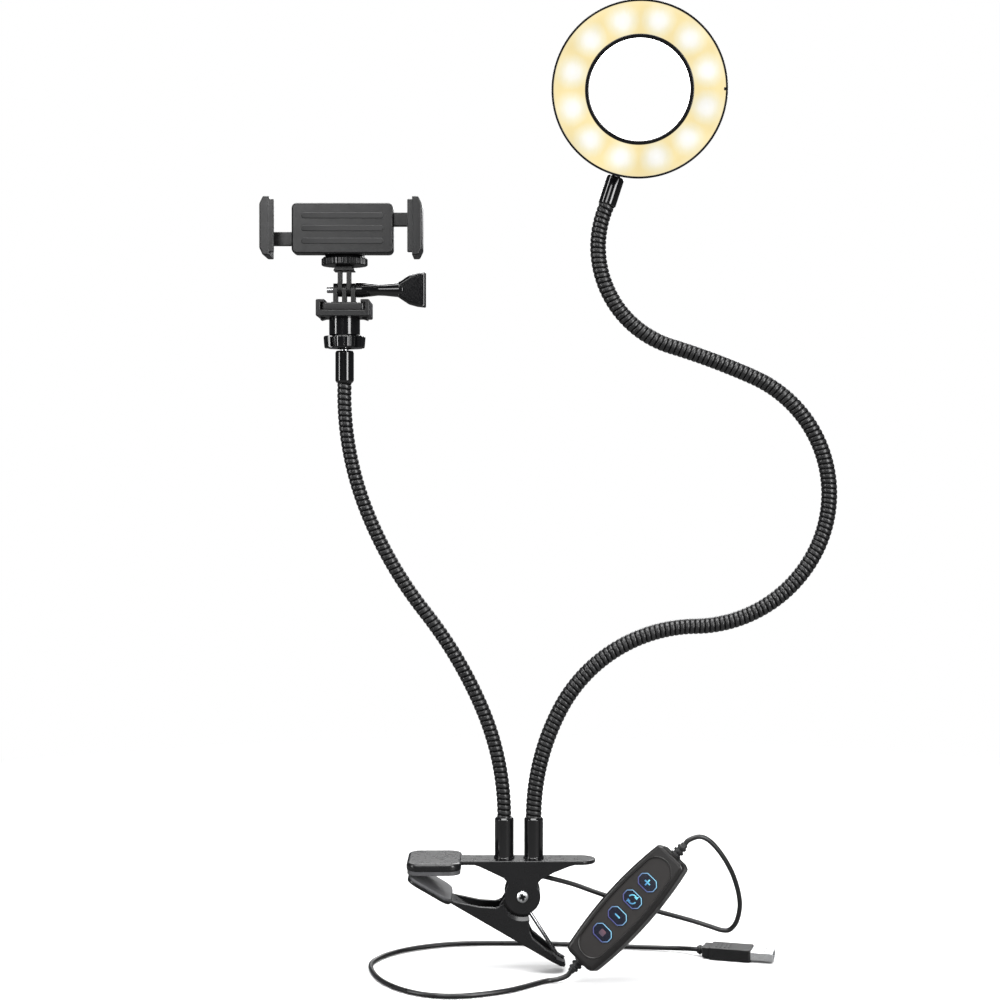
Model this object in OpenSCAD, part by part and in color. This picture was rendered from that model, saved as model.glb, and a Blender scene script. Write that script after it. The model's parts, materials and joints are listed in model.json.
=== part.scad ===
// Clip-on ring light: a spring clamp carries two gooseneck arms. One arm ends in a small LED ring, the
// other in a ball head, a quick-release buckle, a pronged knuckle and a spring-loaded phone cradle. An
// inline controller and a USB lead feed the ring. Origin: centre of the upper jaw pad's grip face. +Z is
// up, +X runs from the jaw to the handles, -Y is the front.

/* [Clamp] */
// Length of both jaws along X
jaw_len = 28.2; // [26:0.2:30]
// Width of both jaws along Y
jaw_w = 36; // [30:1:40]
// Distance from the jaws' centre to the pivot
pivot_x = 45.6; // [44:0.2:48]
// Drop from the grip face to the pivot
pivot_drop = 12.75; // [12:0.25:13.5]
// Width of the handle plate
plate_w = 16; // [14:1:18]
// Closing angle between the two clamp arms
clamp_angle = 30; // [29.5:0.25:31]

/* [Goosenecks] */
// Radius of the ring arm's hose
ring_hose_r = 4.15; // [3.8:0.05:4.2]
// Radius of the holder arm's hose
holder_hose_r = 3.7; // [3.4:0.05:3.75]
// Radius of the steel core inside the ring arm
core_r = 2.2; // [1.6:0.1:2.4]
// Largest bend at one bending station, in degrees
bend_max = 25; // [20:1:28]

/* [Ring head] */
// Outer radius of the ring housing
ring_r = 44.4; // [43:0.1:46]
// Radius of the hole through the ring
hole_r = 25.4; // [24:0.1:26]
// Depth of the ring housing from back to front
ring_depth = 14; // [13:0.5:15]
// Number of LEDs of each colour
led_count = 12; // [8:1:16]
// Forward tilt of the ring head on its pin, as drawn
ring_tilt = 11.5; // [0:0.5:15]

/* [Phone cradle] */
// Gap between the two grip pads as drawn
grip_gap = 69.6; // [66:0.2:74]
// Height of the two cradle jaws
cradle_jaw_h = 30; // [28:1:32]
// Width of the cradle housing
cradle_w = 52; // [48:1:54]

/* [Controller and lead] */
// Length of the controller
ctl_len = 71.6; // [68:0.2:74]
// Width of the controller at its middle
ctl_w = 24; // [22:1:26]
// Thickness of the controller
ctl_t = 14; // [13:0.5:15]
// Radius of the cables
cable_r = 1.25; // [1:0.05:1.4]

/* [Hidden] */
$fn = 48;

black = "#1c1c1e";
dark = "#2a2a2c";
grey = "#6f6f72";
steel = "#b8bbbf";
warm = "#ffe7a3";

// A sliver that makes joined solids overlap and cutters pass through
eps = 0.1;
// The difference in radius between two lapped lengths of one tube
hair = 0.02;

// Clamp, measured from the pivot
plate_top = 18.3;
plate_bottom = 16.2;
plate_tip = 38;
nose_top = 18.8;
nose_bottom = 14.6;
pad_face = pivot_drop;
cheek_in = 5.8;
cheek_out = 8;
lobe_r = 9.3;
ear_in = 3.4;
ear_out = 5.6;
wall_in = 6.9;
wall_out = 9.4;
step_in = 10.4;
step_out = 12.8;
channel_v = -21.3;
screw_r = 2.2;
run_gap = 0.07;
wire_r = 0.75;
coil_r = 4.4;

// Collars
collar_r = 4.95;
collar_top = 39.65;
ring_collar_x = 5.9;
holder_collar_x = -9.4;
stub_r = 2.5;

// Arm routes: [length, turn in degrees] of each arc, from the collar's top, starting straight up
ring_arcs = [[58.2, -27.7], [86.9, -61.5], [75.9, 61.4], [108.9, 93.8], [45.3, 7], [90.7, -96]];
holder_arcs = [[57, 22.7], [59.6, 15.6], [60.9, -16.7], [67.9, -23.7]];
up = 90;

// Ring head, measured from the pivot before it is tilted
ring_centre = [60.3, 416.8];
ring_back = 8.2;
ring_front = ring_back + ring_depth;
ferrule_lean = 18;
ferrule_len = 15.8;
knuckle_at = 21.4;
knuckle_r = 3.2;
eye_half = 2.1;
lug_in = 2.2;
lug_out = 4.4;
led_r = (hole_r + ring_r) / 2;

// Holder head, measured from the pivot
head_x = -92.4;
ferrule_z = 265.4;
neck_r = 2;
ball_r = 5;
ball_z = 294.9;
nut_z = [283.3, 289.6];
socket_z = [289.7, 299.1];
base_z = [299.1, 302.3];
rail_z = 307.9;
base_half = 13.8;
buckle_z = [302.35, 305.95];
knuckle_z = 313.65;
prong_r = 3.6;
prong_t = 2.2;
prong_pitch = 4.6;
bolt_r = 1.65;
disc_z = [326.1, 330.6];
disc_r = 12;
stud_r = 3.1;
stud_z = [323.4, 337.5];

// Cradle, measured from the pivot
foot_z = 330.8;
cradle_z = 344;
cradle_half_h = 13;
cradle_front = -14.5;
cradle_back = -4.5;
bar_h = 7;
bar_z = 5;
pad_t = 1.4;
jaw_in = grip_gap / 2 + pad_t;
jaw_out = jaw_in + 5;
jaw_front = -25;
cradle_wall = 2;
// Each jaw's bar runs through the housing, and its end stops on the far wall when the jaws are closed
bar_stop = cradle_w / 2 - cradle_wall - 0.1;

// Controller pose, measured from the pivot
ctl_at = [53.2, -24, -1.8];
ctl_rise = 48;
ctl_roll = 22;
button_pitch = 11.3;
button_len = 7.6;
button_w = 10.8;
button_cut = 2.2;
floor_z = -39.6;

// ---------------------------------------------------------------- helpers

// Moves a shape drawn around the pivot into the part's frame
module at_pivot() {
    translate([pivot_x, 0, -pivot_drop]) children();
}

// Extrudes an outline drawn in X and Z from y0 to y1
module slab(y0, y1) {
    translate([0, y1, 0]) rotate([90, 0, 0]) linear_extrude(y1 - y0) children();
}

// Extrudes an outline drawn in Y and Z from x0 to x1
module plank(x0, x1) {
    translate([x0, 0, 0]) rotate([90, 0, 90]) linear_extrude(x1 - x0) children();
}

// A cylinder along Y between y0 and y1
module rod_y(r, y0, y1) {
    translate([0, y0, 0]) rotate([-90, 0, 0]) cylinder(r = r, h = y1 - y0);
}

// A cylinder along X between x0 and x1
module rod_x(r, x0, x1) {
    translate([x0, 0, 0]) rotate([0, 90, 0]) cylinder(r = r, h = x1 - x0);
}

// A box given by its lowest and highest corners
module block(low, high) {
    translate(low) cube(high - low);
}

module both_sides() {
    children();
    mirror([0, 1, 0]) children();
}

// Turns the lower clamp arm's own axes (u along the arm, v across it) into place
module along_arm() {
    rotate([0, clamp_angle, 0]) children();
}

// A rounded rectangle from x0 to x1, with half width h and corner radius r
module round_rect(x0, x1, h, r) {
    translate([x0 + r, -h]) square([x1 - x0 - 2 * r, 2 * h]);
    translate([x0, -h + r]) square([x1 - x0, 2 * h - 2 * r]);
    for (x = [x0 + r, x1 - r], y = [-h + r, h - r]) {
        translate([x, y]) circle(r);
    }
}

// The end of an arc that starts at p with heading h
function arc_end(p, h, arc) =
    let (radius = arc[0] * 180 / (PI * arc[1]))
    p + radius * [sin(h + arc[1]) - sin(h), cos(h) - cos(h + arc[1])];

// Place and heading [x, z, heading] after the first i arcs
function pose_at(arcs, i, x) =
    i == 0 ? [x, collar_top, up] :
    let (before = pose_at(arcs, i - 1, x), last = arcs[i - 1])
    concat(arc_end([before[0], before[1]], before[2], last), [before[2] + last[1]]);

// One arc of tube in the plane y = 0, run on by lap degrees before its start and after its end
module bent_tube(pose, arc, r, bore, lap) {
    radius = arc[0] * 180 / (PI * arc[1]);
    centre = [pose[0], pose[1]] + radius * [-sin(pose[2]), cos(pose[2])];
    from = radius > 0 ? pose[2] - up - lap[0] : pose[2] + arc[1] + up - lap[1];
    translate([centre[0], 0, centre[1]]) rotate([90, 0, 0]) rotate([0, 0, from])
        rotate_extrude(angle = abs(arc[1]) + lap[0] + lap[1]) translate([abs(radius), 0])
            difference() {
                circle(r);
                if (bore > 0) circle(bore);
            }
}

// Moves a shape that is drawn along +Z to a pose on an arm
module at_pose(pose) {
    translate([pose[0], 0, pose[1]]) rotate([0, up - pose[2], 0]) children();
}

// Arcs i0 to i1 - 1 of an arm as one tube. Every second arc is a hair thinner and laps into its neighbours.
module arm_tube(arcs, x, i0, i1, r, bore) {
    lap = 0.12;
    for (i = [i0:i1 - 1]) {
        thin = (i - i0) % 2;
        bent_tube(pose_at(arcs, i, x), arcs[i], r - hair * thin, bore > 0 ? bore + hair * thin : 0,
            [lap * thin, i < i1 - 1 ? lap * thin : 0]);
    }
}

// Room for the ball of the piece below, with a gap that lets the station bend to bend_max
module cup_cutter(pose, r) {
    at_pose(pose) sphere(r + eps);
    at_pose(pose) translate([0, 0, -1]) cylinder(r = r + 1, h = r * tan(bend_max / 2) + 1.3);
}

// A hose piece between two bending stations: a cup at its start and a ball at its end
module sleeve(arcs, x, i0, i1, r, bore, cup, ball) {
    color(dark) at_pivot() {
        difference() {
            arm_tube(arcs, x, i0, i1, r, bore);
            if (cup) cup_cutter(pose_at(arcs, i0, x), r);
        }
        if (ball) at_pose(pose_at(arcs, i1, x)) sphere(r - 0.05);
    }
}

module ring_sleeve(i0, i1, cup, ball) {
    sleeve(ring_arcs, ring_collar_x, i0, i1, ring_hose_r, core_r + eps, cup, ball);
}

module ring_core(i0, i1, cup, ball) {
    color(steel) at_pivot() difference() {
        arm_tube(ring_arcs, ring_collar_x, i0, i1, core_r, 0);
        if (cup) cup_cutter(pose_at(ring_arcs, i0, ring_collar_x), ring_hose_r);
        if (ball) at_pose(pose_at(ring_arcs, i1, ring_collar_x)) sphere(ring_hose_r);
    }
}

module holder_sleeve(i0, i1, cup, ball) {
    sleeve(holder_arcs, holder_collar_x, i0, i1, holder_hose_r, 0, cup, ball);
}

// Catmull-Rom point between b and c, for the cables
function curve_point(a, b, c, d, t) =
    0.5 * (2 * b + (c - a) * t + (2 * a - 5 * b + 4 * c - d) * t * t + (3 * b - a - 3 * c + d) * t * t * t);

function clip_index(i, n) = max(0, min(n - 1, i));

// A smooth run of points through a route
function smooth(route, steps) =
    let (n = len(route))
    concat([for (i = [0:n - 2], k = [0:steps - 1])
        curve_point(route[clip_index(i - 1, n)], route[i], route[i + 1], route[clip_index(i + 2, n)],
            k / steps)], [route[n - 1]]);

function unit(v) = v / norm(v);

// The direction of a run of points at point i
function heading(run, i) =
    unit(run[clip_index(i + 1, len(run))] - run[clip_index(i - 1, len(run))]);

// The corners of one cross-section of a cable
function section(p, dir, r, sides) =
    let (side = unit(cross(dir, abs(dir[2]) > 0.9 ? [0, 1, 0] : [0, 0, 1])), top = cross(side, dir))
    [for (k = [0:sides - 1]) p + r * (cos(360 * k / sides) * side + sin(360 * k / sides) * top)];

// A round cable along a run of points
module cable(run, r) {
    sides = 12;
    n = len(run);
    points = [for (i = [0:n - 1]) each section(run[i], heading(run, i), r, sides)];
    walls = [for (i = [0:n - 2], k = [0:sides - 1])
        [i * sides + k, i * sides + (k + 1) % sides, (i + 1) * sides + (k + 1) % sides,
            (i + 1) * sides + k]];
    first = [for (k = [sides - 1:-1:0]) k];
    last = [for (k = [0:sides - 1]) (n - 1) * sides + k];
    polyhedron(points = points, faces = concat(walls, [first], [last]), convexity = 10);
}

// ---------------------------------------------------------------- clamp

module cheek_outline() {
    circle(lobe_r);
    polygon([[-24.5, plate_bottom + eps], [-23, 15.6], [-9.5, 9.4], [-7.4, 6.6], [-6.5, 0], [6.5, 0],
        [7.7, 6.4], [9.2, 8.6], [16, 12.2], [24, 15.4], [28, plate_bottom + eps]]);
}

module upper_clamp_arm() {
    color(black) at_pivot() difference() {
        union() {
            translate([0, 0, plate_bottom]) linear_extrude(plate_top - plate_bottom) {
                translate([-34, -plate_w / 2]) square([34 + plate_tip - plate_w / 2, plate_w]);
                translate([plate_tip - plate_w / 2, 0]) circle(plate_w / 2);
            }
            both_sides() slab(cheek_in, cheek_out) cheek_outline();
            translate([0, 0, nose_bottom]) linear_extrude(nose_top - 1 - nose_bottom)
                round_rect(-pivot_x - jaw_len / 2, -pivot_x + jaw_len / 2, jaw_w / 2, 6);
            translate([0, 0, nose_bottom + 1]) linear_extrude(nose_top - nose_bottom - 1)
                round_rect(-pivot_x - jaw_len / 2 + 1, -pivot_x + jaw_len / 2 - 1, jaw_w / 2 - 1, 5.5);
        }
        rod_y(screw_r + 0.05, -cheek_out - 1, cheek_out + 1);
        for (x = [ring_collar_x, holder_collar_x]) {
            translate([x, 0, plate_bottom - 1]) cylinder(r = stub_r + 0.05, h = 4);
        }
    }
}

module upper_jaw_pad() {
    color(grey) at_pivot() translate([0, 0, pad_face]) linear_extrude(nose_bottom - pad_face)
        round_rect(-pivot_x - jaw_len / 2 + 0.4, -pivot_x + jaw_len / 2 - 0.4, jaw_w / 2 - 0.5, 5.5);
}

module pivot_screw() {
    color(steel) at_pivot() difference() {
        union() {
            rod_y(screw_r, -cheek_out - 0.5, cheek_out + 3);
            rod_y(2.7, -cheek_out - 1.5, -cheek_out);
        }
        for (a = [45, 135]) rotate([0, a, 0]) block([-1.8, -cheek_out - 2, -0.35],
            [1.8, -cheek_out - 0.8, 0.35]);
    }
}

module pivot_nut() {
    color(steel) at_pivot() difference() {
        translate([0, cheek_out, 0]) rotate([-90, 0, 0]) cylinder(r = 4, h = 2.6, $fn = 6);
        rod_y(screw_r + 0.02, cheek_out - 1, cheek_out + 4);
    }
}

// One collar: a sleeve round the hose's foot, with a threaded stub through the plate. The stub can carry
// the lead.
module collar(x, hose_r, lead_bore) {
    color(black) at_pivot() translate([x, 0, 0]) difference() {
        union() {
            translate([0, 0, plate_top]) cylinder(r = collar_r, h = collar_top - plate_top - 0.8);
            translate([0, 0, plate_top]) cylinder(r = collar_r - 0.5, h = collar_top - plate_top);
            translate([0, 0, plate_bottom - 3.6]) cylinder(r = stub_r, h = plate_top - plate_bottom + 4.6);
        }
        translate([0, 0, plate_top + 2]) cylinder(r = hose_r + 0.05, h = collar_top);
        if (lead_bore) cylinder(r = cable_r + eps, h = collar_top);
    }
}

module ring_arm_collar() {
    collar(ring_collar_x, ring_hose_r, true);
}

module holder_arm_collar() {
    collar(holder_collar_x, holder_hose_r, false);
}

module collar_nuts() {
    color(steel) at_pivot() for (x = [ring_collar_x, holder_collar_x]) {
        translate([x, 0, plate_bottom - 2.8]) difference() {
            cylinder(r = 4.6, h = 2.8, $fn = 6);
            translate([0, 0, -1]) cylinder(r = stub_r + 0.02, h = 5);
        }
    }
}

// Side wall of the lower arm, in its own u and v
module wall_outline() {
    polygon([[-30.6, channel_v], [-30.6, channel_v + 1.2], [-16.5, -15.4], [-8.5, -11.3], [-5, -7], [5, -5],
        [8.1, -7.1], [12.2, -13.6], [15, -15.6], [31, -18.3], [35, -19.2], [36.6, channel_v + 1],
        [36, channel_v]]);
}

module lower_clamp_arm() {
    color(black) at_pivot() along_arm() difference() {
        union() {
            translate([0, 0, channel_v]) linear_extrude(2) {
                translate([-30.6, -wall_out]) square([60.6, 2 * wall_out]);
                translate([30, 0]) intersection() {
                    circle(wall_out);
                    translate([-1, -wall_out]) square([8.5, 2 * wall_out]);
                }
            }
            block([-50, -9, channel_v + 0.5], [-30, 9, channel_v + 1.4]);
            both_sides() difference() {
                slab(wall_in, wall_out) wall_outline();
                rod_y(step_in, wall_in - 1, wall_out + 1);
                block([30, 0, channel_v - 1], [40, 12, 0]);
            }
            both_sides() intersection() {
                slab(ear_in, wall_out) wall_outline();
                difference() {
                    rod_y(step_out, ear_in, wall_out);
                    rod_y(step_in, ear_in - 1, wall_out + 1);
                }
            }
            both_sides() intersection() {
                slab(ear_in, ear_out) wall_outline();
                rod_y(step_out, ear_in, ear_out);
            }
            both_sides() rod_y(lobe_r - 0.5, ear_in, ear_out);
        }
        rod_y(screw_r + run_gap, -wall_out - 1, wall_out + 1);
    }
}

module lower_jaw_shell() {
    u0 = -56.4;
    u1 = -30.8;
    color(black) at_pivot() along_arm() difference() {
        translate([0, 0, channel_v]) linear_extrude(1.9) round_rect(u0, u1, jaw_w / 2, 5);
        block([-50.1, -9.1, channel_v + 0.4], [-20, 9.1, channel_v + 1.5]);
    }
}

module lower_jaw_pad() {
    color(grey) at_pivot() along_arm() translate([0, 0, channel_v + 1.9])
        linear_extrude(1.1) round_rect(-56, -31.6, jaw_w / 2 - 0.6, 5);
}

// Torsion spring: four turns round the pivot screw, one leg up to the plate, one leg from under the coil
// down to the floor of the lower tray
module clamp_spring() {
    leg_foot = [16.8, -30.2];
    leg_top = [-3.5, 14];
    color(steel) at_pivot() {
        for (i = [-1.5:1:1.5]) translate([0, i * 1.6, 0]) rotate([90, 0, 0])
            rotate_extrude() translate([coil_r, 0]) circle(wire_r);
        translate([0, -2.4, -coil_r]) rotate([0, up + atan2(-leg_foot[1] - coil_r, leg_foot[0]), 0])
            cylinder(r = wire_r - 0.05, h = norm([leg_foot[0], leg_foot[1] + coil_r]));
        translate([-coil_r, 2.4, 0]) rotate([0, up - atan2(leg_top[1], leg_top[0] + coil_r), 0])
            cylinder(r = wire_r - 0.05, h = norm([leg_top[0] + coil_r, leg_top[1]]));
    }
}

// ---------------------------------------------------------------- ring arm

module ring_hose_base() {
    ring_sleeve(0, 1, false, true);
    color(dark) at_pivot() translate([ring_collar_x, 0, plate_top + 2.2]) difference() {
        cylinder(r = ring_hose_r - hair, h = collar_top - plate_top - 2);
        translate([0, 0, -1]) cylinder(r = core_r + eps + hair, h = 40);
    }
}

module ring_hose_lower() {
    ring_sleeve(1, 3, true, true);
}

module ring_hose_middle() {
    ring_sleeve(3, 5, true, true);
}

module ring_hose_upper() {
    ring_sleeve(5, 6, true, false);
}

module ring_core_base() {
    ring_core(0, 1, false, true);
}

module ring_core_lower() {
    ring_core(1, 3, true, true);
}

module ring_core_middle() {
    ring_core(3, 5, true, true);
}

module ring_core_upper() {
    ring_core(5, 6, true, false);
}

hose_end = pose_at(ring_arcs, 6, ring_collar_x);
ferrule_pose = [hose_end[0], hose_end[1], up - ferrule_lean];
knuckle = [hose_end[0] + knuckle_at * sin(ferrule_lean), hose_end[1] + knuckle_at * cos(ferrule_lean)];

// The knuckle behind the ring: X along its pin, Z away from the arm
module at_knuckle() {
    translate([knuckle[0], 0, knuckle[1]]) rotate([0, ferrule_lean, 0]) children();
}

// Tilts the ring head forward about the knuckle's pin
module tilted() {
    at_knuckle() rotate([ring_tilt, 0, 0]) rotate([0, -ferrule_lean, 0])
        translate([-knuckle[0], 0, -knuckle[1]]) children();
}

module ring_ferrule() {
    color(black) at_pivot() {
        at_pose(ferrule_pose) translate([0, 0, 0.4]) {
            cylinder(r = 4.4, h = ferrule_len - 0.4);
            translate([0, 0, 0.6]) cylinder(r = 4.65, h = ferrule_len - 1.6);
        }
        at_knuckle() difference() {
            plank(-eye_half, eye_half) {
                circle(knuckle_r);
                translate([-knuckle_r, ferrule_len - knuckle_at - 1])
                    square([2 * knuckle_r, knuckle_at - ferrule_len + 1]);
            }
            rod_x(1.26, -5, 5);
        }
    }
}

// ---------------------------------------------------------------- ring head

// Turns a profile (radius, distance in front of the arm) round the ring's axis
module round_ring() {
    translate([ring_centre[0], 0, ring_centre[1]]) rotate([90, 0, 0]) rotate_extrude() children();
}

// Places shapes on the ring: local Z points to the front, local X and Y lie in its face
module on_ring(angle, r, depth) {
    translate([ring_centre[0], 0, ring_centre[1]]) rotate([90, 0, 0]) rotate([0, 0, angle])
        translate([r, 0, depth]) children();
}

screw_angles = [30, 120, 210, 300];

module ring_rear_housing() {
    wall = 0.75;
    rim = 1.8;
    color(black) at_pivot() tilted() difference() {
        union() {
            round_ring() polygon([[hole_r, ring_back + 1], [hole_r + 1, ring_back],
                [ring_r - 1.4, ring_back], [ring_r, ring_back + 1.4], [ring_r, ring_front],
                [ring_r - wall, ring_front], [ring_r - wall, ring_back + 1.8],
                [hole_r + rim, ring_back + 1.8], [hole_r + rim, ring_front], [hole_r, ring_front]]);
            at_knuckle() for (x = [-lug_out, lug_in]) plank(x, x + lug_out - lug_in) {
                circle(knuckle_r);
                translate([-ring_back - 0.8, -knuckle_r]) square([ring_back + 0.8, 2 * knuckle_r]);
            }
            for (a = screw_angles) on_ring(a, led_r, ring_back + 1) cylinder(r = 2, h = 2);
        }
        at_knuckle() rod_x(1.22, -6, 6);
        for (a = screw_angles) on_ring(a, led_r, ring_back - 1) {
            cylinder(r = 0.92, h = 6);
            cylinder(r = 1.9, h = 1.8);
        }
    }
}

module ring_diffuser() {
    color(warm) at_pivot() tilted() round_ring() polygon([[hole_r + 1.9, ring_front - 2.2],
        [hole_r + 1.9, ring_front - 0.5], [hole_r + 2.5, ring_front - 0.1],
        [ring_r - 1.5, ring_front - 0.1], [ring_r - 0.85, ring_front - 0.5],
        [ring_r - 0.85, ring_front - 2.2]]);
}

module led_board() {
    color("#e8e8e4") at_pivot() tilted() difference() {
        round_ring() polygon([[hole_r + 2.4, ring_back + 3], [ring_r - 1.4, ring_back + 3],
            [ring_r - 1.4, ring_back + 4.2], [hole_r + 2.4, ring_back + 4.2]]);
        for (a = screw_angles) on_ring(a, led_r, ring_back + 2) cylinder(r = 0.92, h = 3);
    }
}

// Warm LEDs sit half a step round from the cool ones
module led_chips() {
    color(warm) at_pivot() tilted() for (k = [0:2 * led_count - 1]) {
        on_ring(180 * k / led_count, led_r - 0.6 + 1.2 * (k % 2), ring_back + 4.2)
            translate([-1.4, -1.75, 0]) cube([2.8, 3.5, 0.8]);
    }
}

module ring_housing_screws() {
    color(steel) at_pivot() tilted() for (a = screw_angles) on_ring(a, led_r, ring_back) {
        translate([0, 0, 0.1]) cylinder(r = 1.8, h = 0.7);
        translate([0, 0, 0.1]) cylinder(r = 0.88, h = 4);
    }
}

module tilt_screw() {
    color(steel) at_pivot() tilted() at_knuckle() {
        rod_x(1.2, -lug_out - 0.6, lug_out + 0.5);
        rod_x(2.3, lug_out, lug_out + 1.2);
        rod_x(2.1, -lug_out - 1.1, -lug_out);
    }
}

// ---------------------------------------------------------------- holder arm and ball head

module holder_hose_base() {
    holder_sleeve(0, 1, false, true);
    color(dark) at_pivot() translate([holder_collar_x, 0, plate_top + 2.2])
        cylinder(r = holder_hose_r - hair, h = collar_top - plate_top - 2);
}

module holder_hose_lower() {
    holder_sleeve(1, 3, true, true);
}

module holder_hose_upper() {
    holder_sleeve(3, 4, true, false);
}

// Places a shape over the holder arm's end
module at_head() {
    at_pivot() translate([head_x, 0, 0]) children();
}

module holder_ferrule() {
    top = 282;
    color(black) at_head() difference() {
        union() {
            translate([0, 0, ferrule_z + 0.3]) cylinder(r = 4.3, h = top - ferrule_z - 0.3);
            translate([0, 0, ferrule_z + 1]) cylinder(r = 4.8, h = top - ferrule_z - 2);
        }
        translate([0, 0, 277]) cylinder(r = neck_r + run_gap, h = 10);
    }
}

module ball_stud() {
    color(steel) at_head() {
        translate([0, 0, 277.2]) cylinder(r = neck_r, h = ball_z - 277.2);
        translate([0, 0, ball_z]) sphere(ball_r);
    }
}

module socket_base() {
    rail_in = base_half - 2.4;
    hook_in = base_half - 4.6;
    base_y = 13;
    color(black) at_head() difference() {
        union() {
            translate([0, 0, socket_z[0]]) cylinder(r = 8, h = socket_z[1] - socket_z[0]);
            translate([0, 0, nut_z[0] + 1.2]) cylinder(r = 6.6, h = socket_z[0] - nut_z[0] - 1.1);
            block([-base_half, -base_y, base_z[0]], [base_half, base_y, base_z[1]]);
            for (side = [-1, 1]) scale([side, 1, 1]) {
                block([rail_in, -base_y, base_z[1] - 1], [base_half, base_y, rail_z]);
                block([hook_in, -base_y, buckle_z[1] + eps], [base_half, base_y, rail_z]);
            }
        }
        translate([0, 0, ball_z]) sphere(ball_r + 0.06);
        translate([0, 0, nut_z[0]]) cylinder(r = 5, h = socket_z[0] - nut_z[0] - 1);
        translate([0, 0, nut_z[0]]) cylinder(r = 3.6, h = 8);
    }
}

// Five lobes round a threaded ring
module lock_nut() {
    lobes = 5;
    lobe_w = 8.8;
    color(black) at_head() translate([0, 0, nut_z[0]]) linear_extrude(nut_z[1] - nut_z[0]) difference() {
        union() {
            circle(8.6);
            for (k = [0:lobes - 1]) rotate(360 * k / lobes - up) intersection() {
                translate([5, -lobe_w / 2]) square([6, lobe_w]);
                circle(10.9);
            }
        }
        circle(6.66);
    }
}

// An upright prong's outline in Y and Z, round at the knuckle
module prong_outline(z0) {
    translate([0, knuckle_z]) circle(prong_r);
    translate([-prong_r, min(z0, knuckle_z)]) square([2 * prong_r, abs(z0 - knuckle_z)]);
}

module quick_buckle() {
    plate_half = base_half - 2.5;
    color(black) at_head() difference() {
        union() {
            block([-plate_half, -12.4, buckle_z[0]], [plate_half, 12.4, buckle_z[1]]);
            for (k = [-1:1]) plank(k * prong_pitch - prong_t / 2, k * prong_pitch + prong_t / 2)
                prong_outline(buckle_z[1] - eps);
        }
        translate([0, 0, knuckle_z]) rod_x(bolt_r + run_gap, -8, 8);
        translate([-prong_pitch - prong_t / 2 - 1, 0, knuckle_z]) rotate([0, up, 0])
            cylinder(r = 2.9, h = 2.3, $fn = 6);
    }
}

module thumb_nut() {
    color(steel) at_head() translate([-prong_pitch - prong_t / 2, 0, knuckle_z]) difference() {
        rotate([0, up, 0]) cylinder(r = 2.85, h = 1.25, $fn = 6);
        rod_x(bolt_r + run_gap, -2, 4);
    }
}

// Bolt with a waisted shank and a flared paddle
module thumb_screw() {
    start = prong_pitch + prong_t / 2 + 0.2;
    color(black) at_head() translate([0, 0, knuckle_z]) {
        rod_x(bolt_r, -9.2, start + 1);
        translate([start, 0, 0]) {
            rotate([0, up, 0]) rotate_extrude() polygon([[0, 0], [3.9, 0], [3.9, 3.5], [2.95, 11.5],
                [3.3, 17.5], [3.8, 22.5], [3.6, 24], [0, 24]]);
            slab(-2.9, 2.9) polygon([[22, -3.6], [22, 3.6], [28, 7.5], [36.4, 9.2], [36.4, -9.2],
                [28, -7.5]]);
        }
    }
}

module prong_adapter() {
    base = [323.2, 326];
    color(black) at_head() difference() {
        union() {
            for (side = [-1, 1]) translate([side * prong_pitch / 2, 0, 0]) plank(-1.05, 1.05)
                prong_outline(base[0] + eps);
            slab(-5, 5) polygon([[-5.65, base[0]], [5.65, base[0]], [4.1, base[1]], [-4.1, base[1]]]);
        }
        translate([0, 0, knuckle_z]) rod_x(bolt_r + run_gap, -8, 8);
        translate([0, 0, stud_z[0]]) cylinder(r = stud_r + 0.02, h = 5);
    }
}

module tripod_screw() {
    color(steel) at_head() {
        translate([0, 0, stud_z[0]]) cylinder(r = stud_r, h = stud_z[1] - stud_z[0] - 0.6);
        translate([0, 0, stud_z[0]]) cylinder(r = stud_r - 0.5, h = stud_z[1] - stud_z[0]);
    }
}

module lock_disc() {
    scallops = 18;
    color(black) at_head() difference() {
        translate([0, 0, disc_z[0]]) cylinder(r = disc_r, h = disc_z[1] - disc_z[0]);
        translate([0, 0, disc_z[0] - 1]) cylinder(r = stud_r + run_gap, h = 8);
        for (k = [0:scallops - 1]) rotate([0, 0, 360 * k / scallops])
            translate([disc_r + 0.6, 0, disc_z[0] - 1]) cylinder(r = 1.2, h = 8, $fn = 24);
    }
}

// ---------------------------------------------------------------- phone cradle

module cradle_housing() {
    half = cradle_w / 2;
    low = cradle_z - cradle_half_h;
    high = cradle_z + cradle_half_h;
    color(black) at_head() difference() {
        union() {
            block([-half, cradle_front, low], [half, cradle_back, high]);
            block([-10, cradle_back - 0.5, foot_z], [10, 8, low + cradle_wall]);
            block([-10, cradle_back + eps, low], [10, 8, foot_z + 10]);
        }
        block([-half + cradle_wall, cradle_front + 1.6, low + cradle_wall],
            [half - cradle_wall, cradle_back + eps / 2, high - cradle_wall]);
        bar_slot(1);
        mirror([1, 0, 0]) bar_slot(-1);
        translate([0, 0, foot_z - 1]) cylinder(r = 4.45, h = 9);
    }
}

// Opening in the housing's side for one jaw's bar
module bar_slot(side) {
    z = cradle_z + side * bar_z;
    block([cradle_w / 2 - 3, -11.1, z - bar_h / 2 - eps], [cradle_w / 2 + 1, -6.9, z + bar_h / 2 + eps]);
}

module cradle_back_cover() {
    half_w = cradle_w / 2 - cradle_wall - 0.15;
    half_h = cradle_half_h - cradle_wall - 0.15;
    color(black) at_head() block([-half_w, cradle_back - 1.5, cradle_z - half_h],
        [half_w, cradle_back, cradle_z + half_h]);
}

module cradle_insert() {
    color("#b5923f") at_head() translate([0, 0, foot_z + 0.1]) difference() {
        cylinder(r = 4.4, h = 7.6);
        translate([0, 0, -1]) cylinder(r = stud_r + run_gap, h = 10);
    }
}

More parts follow.
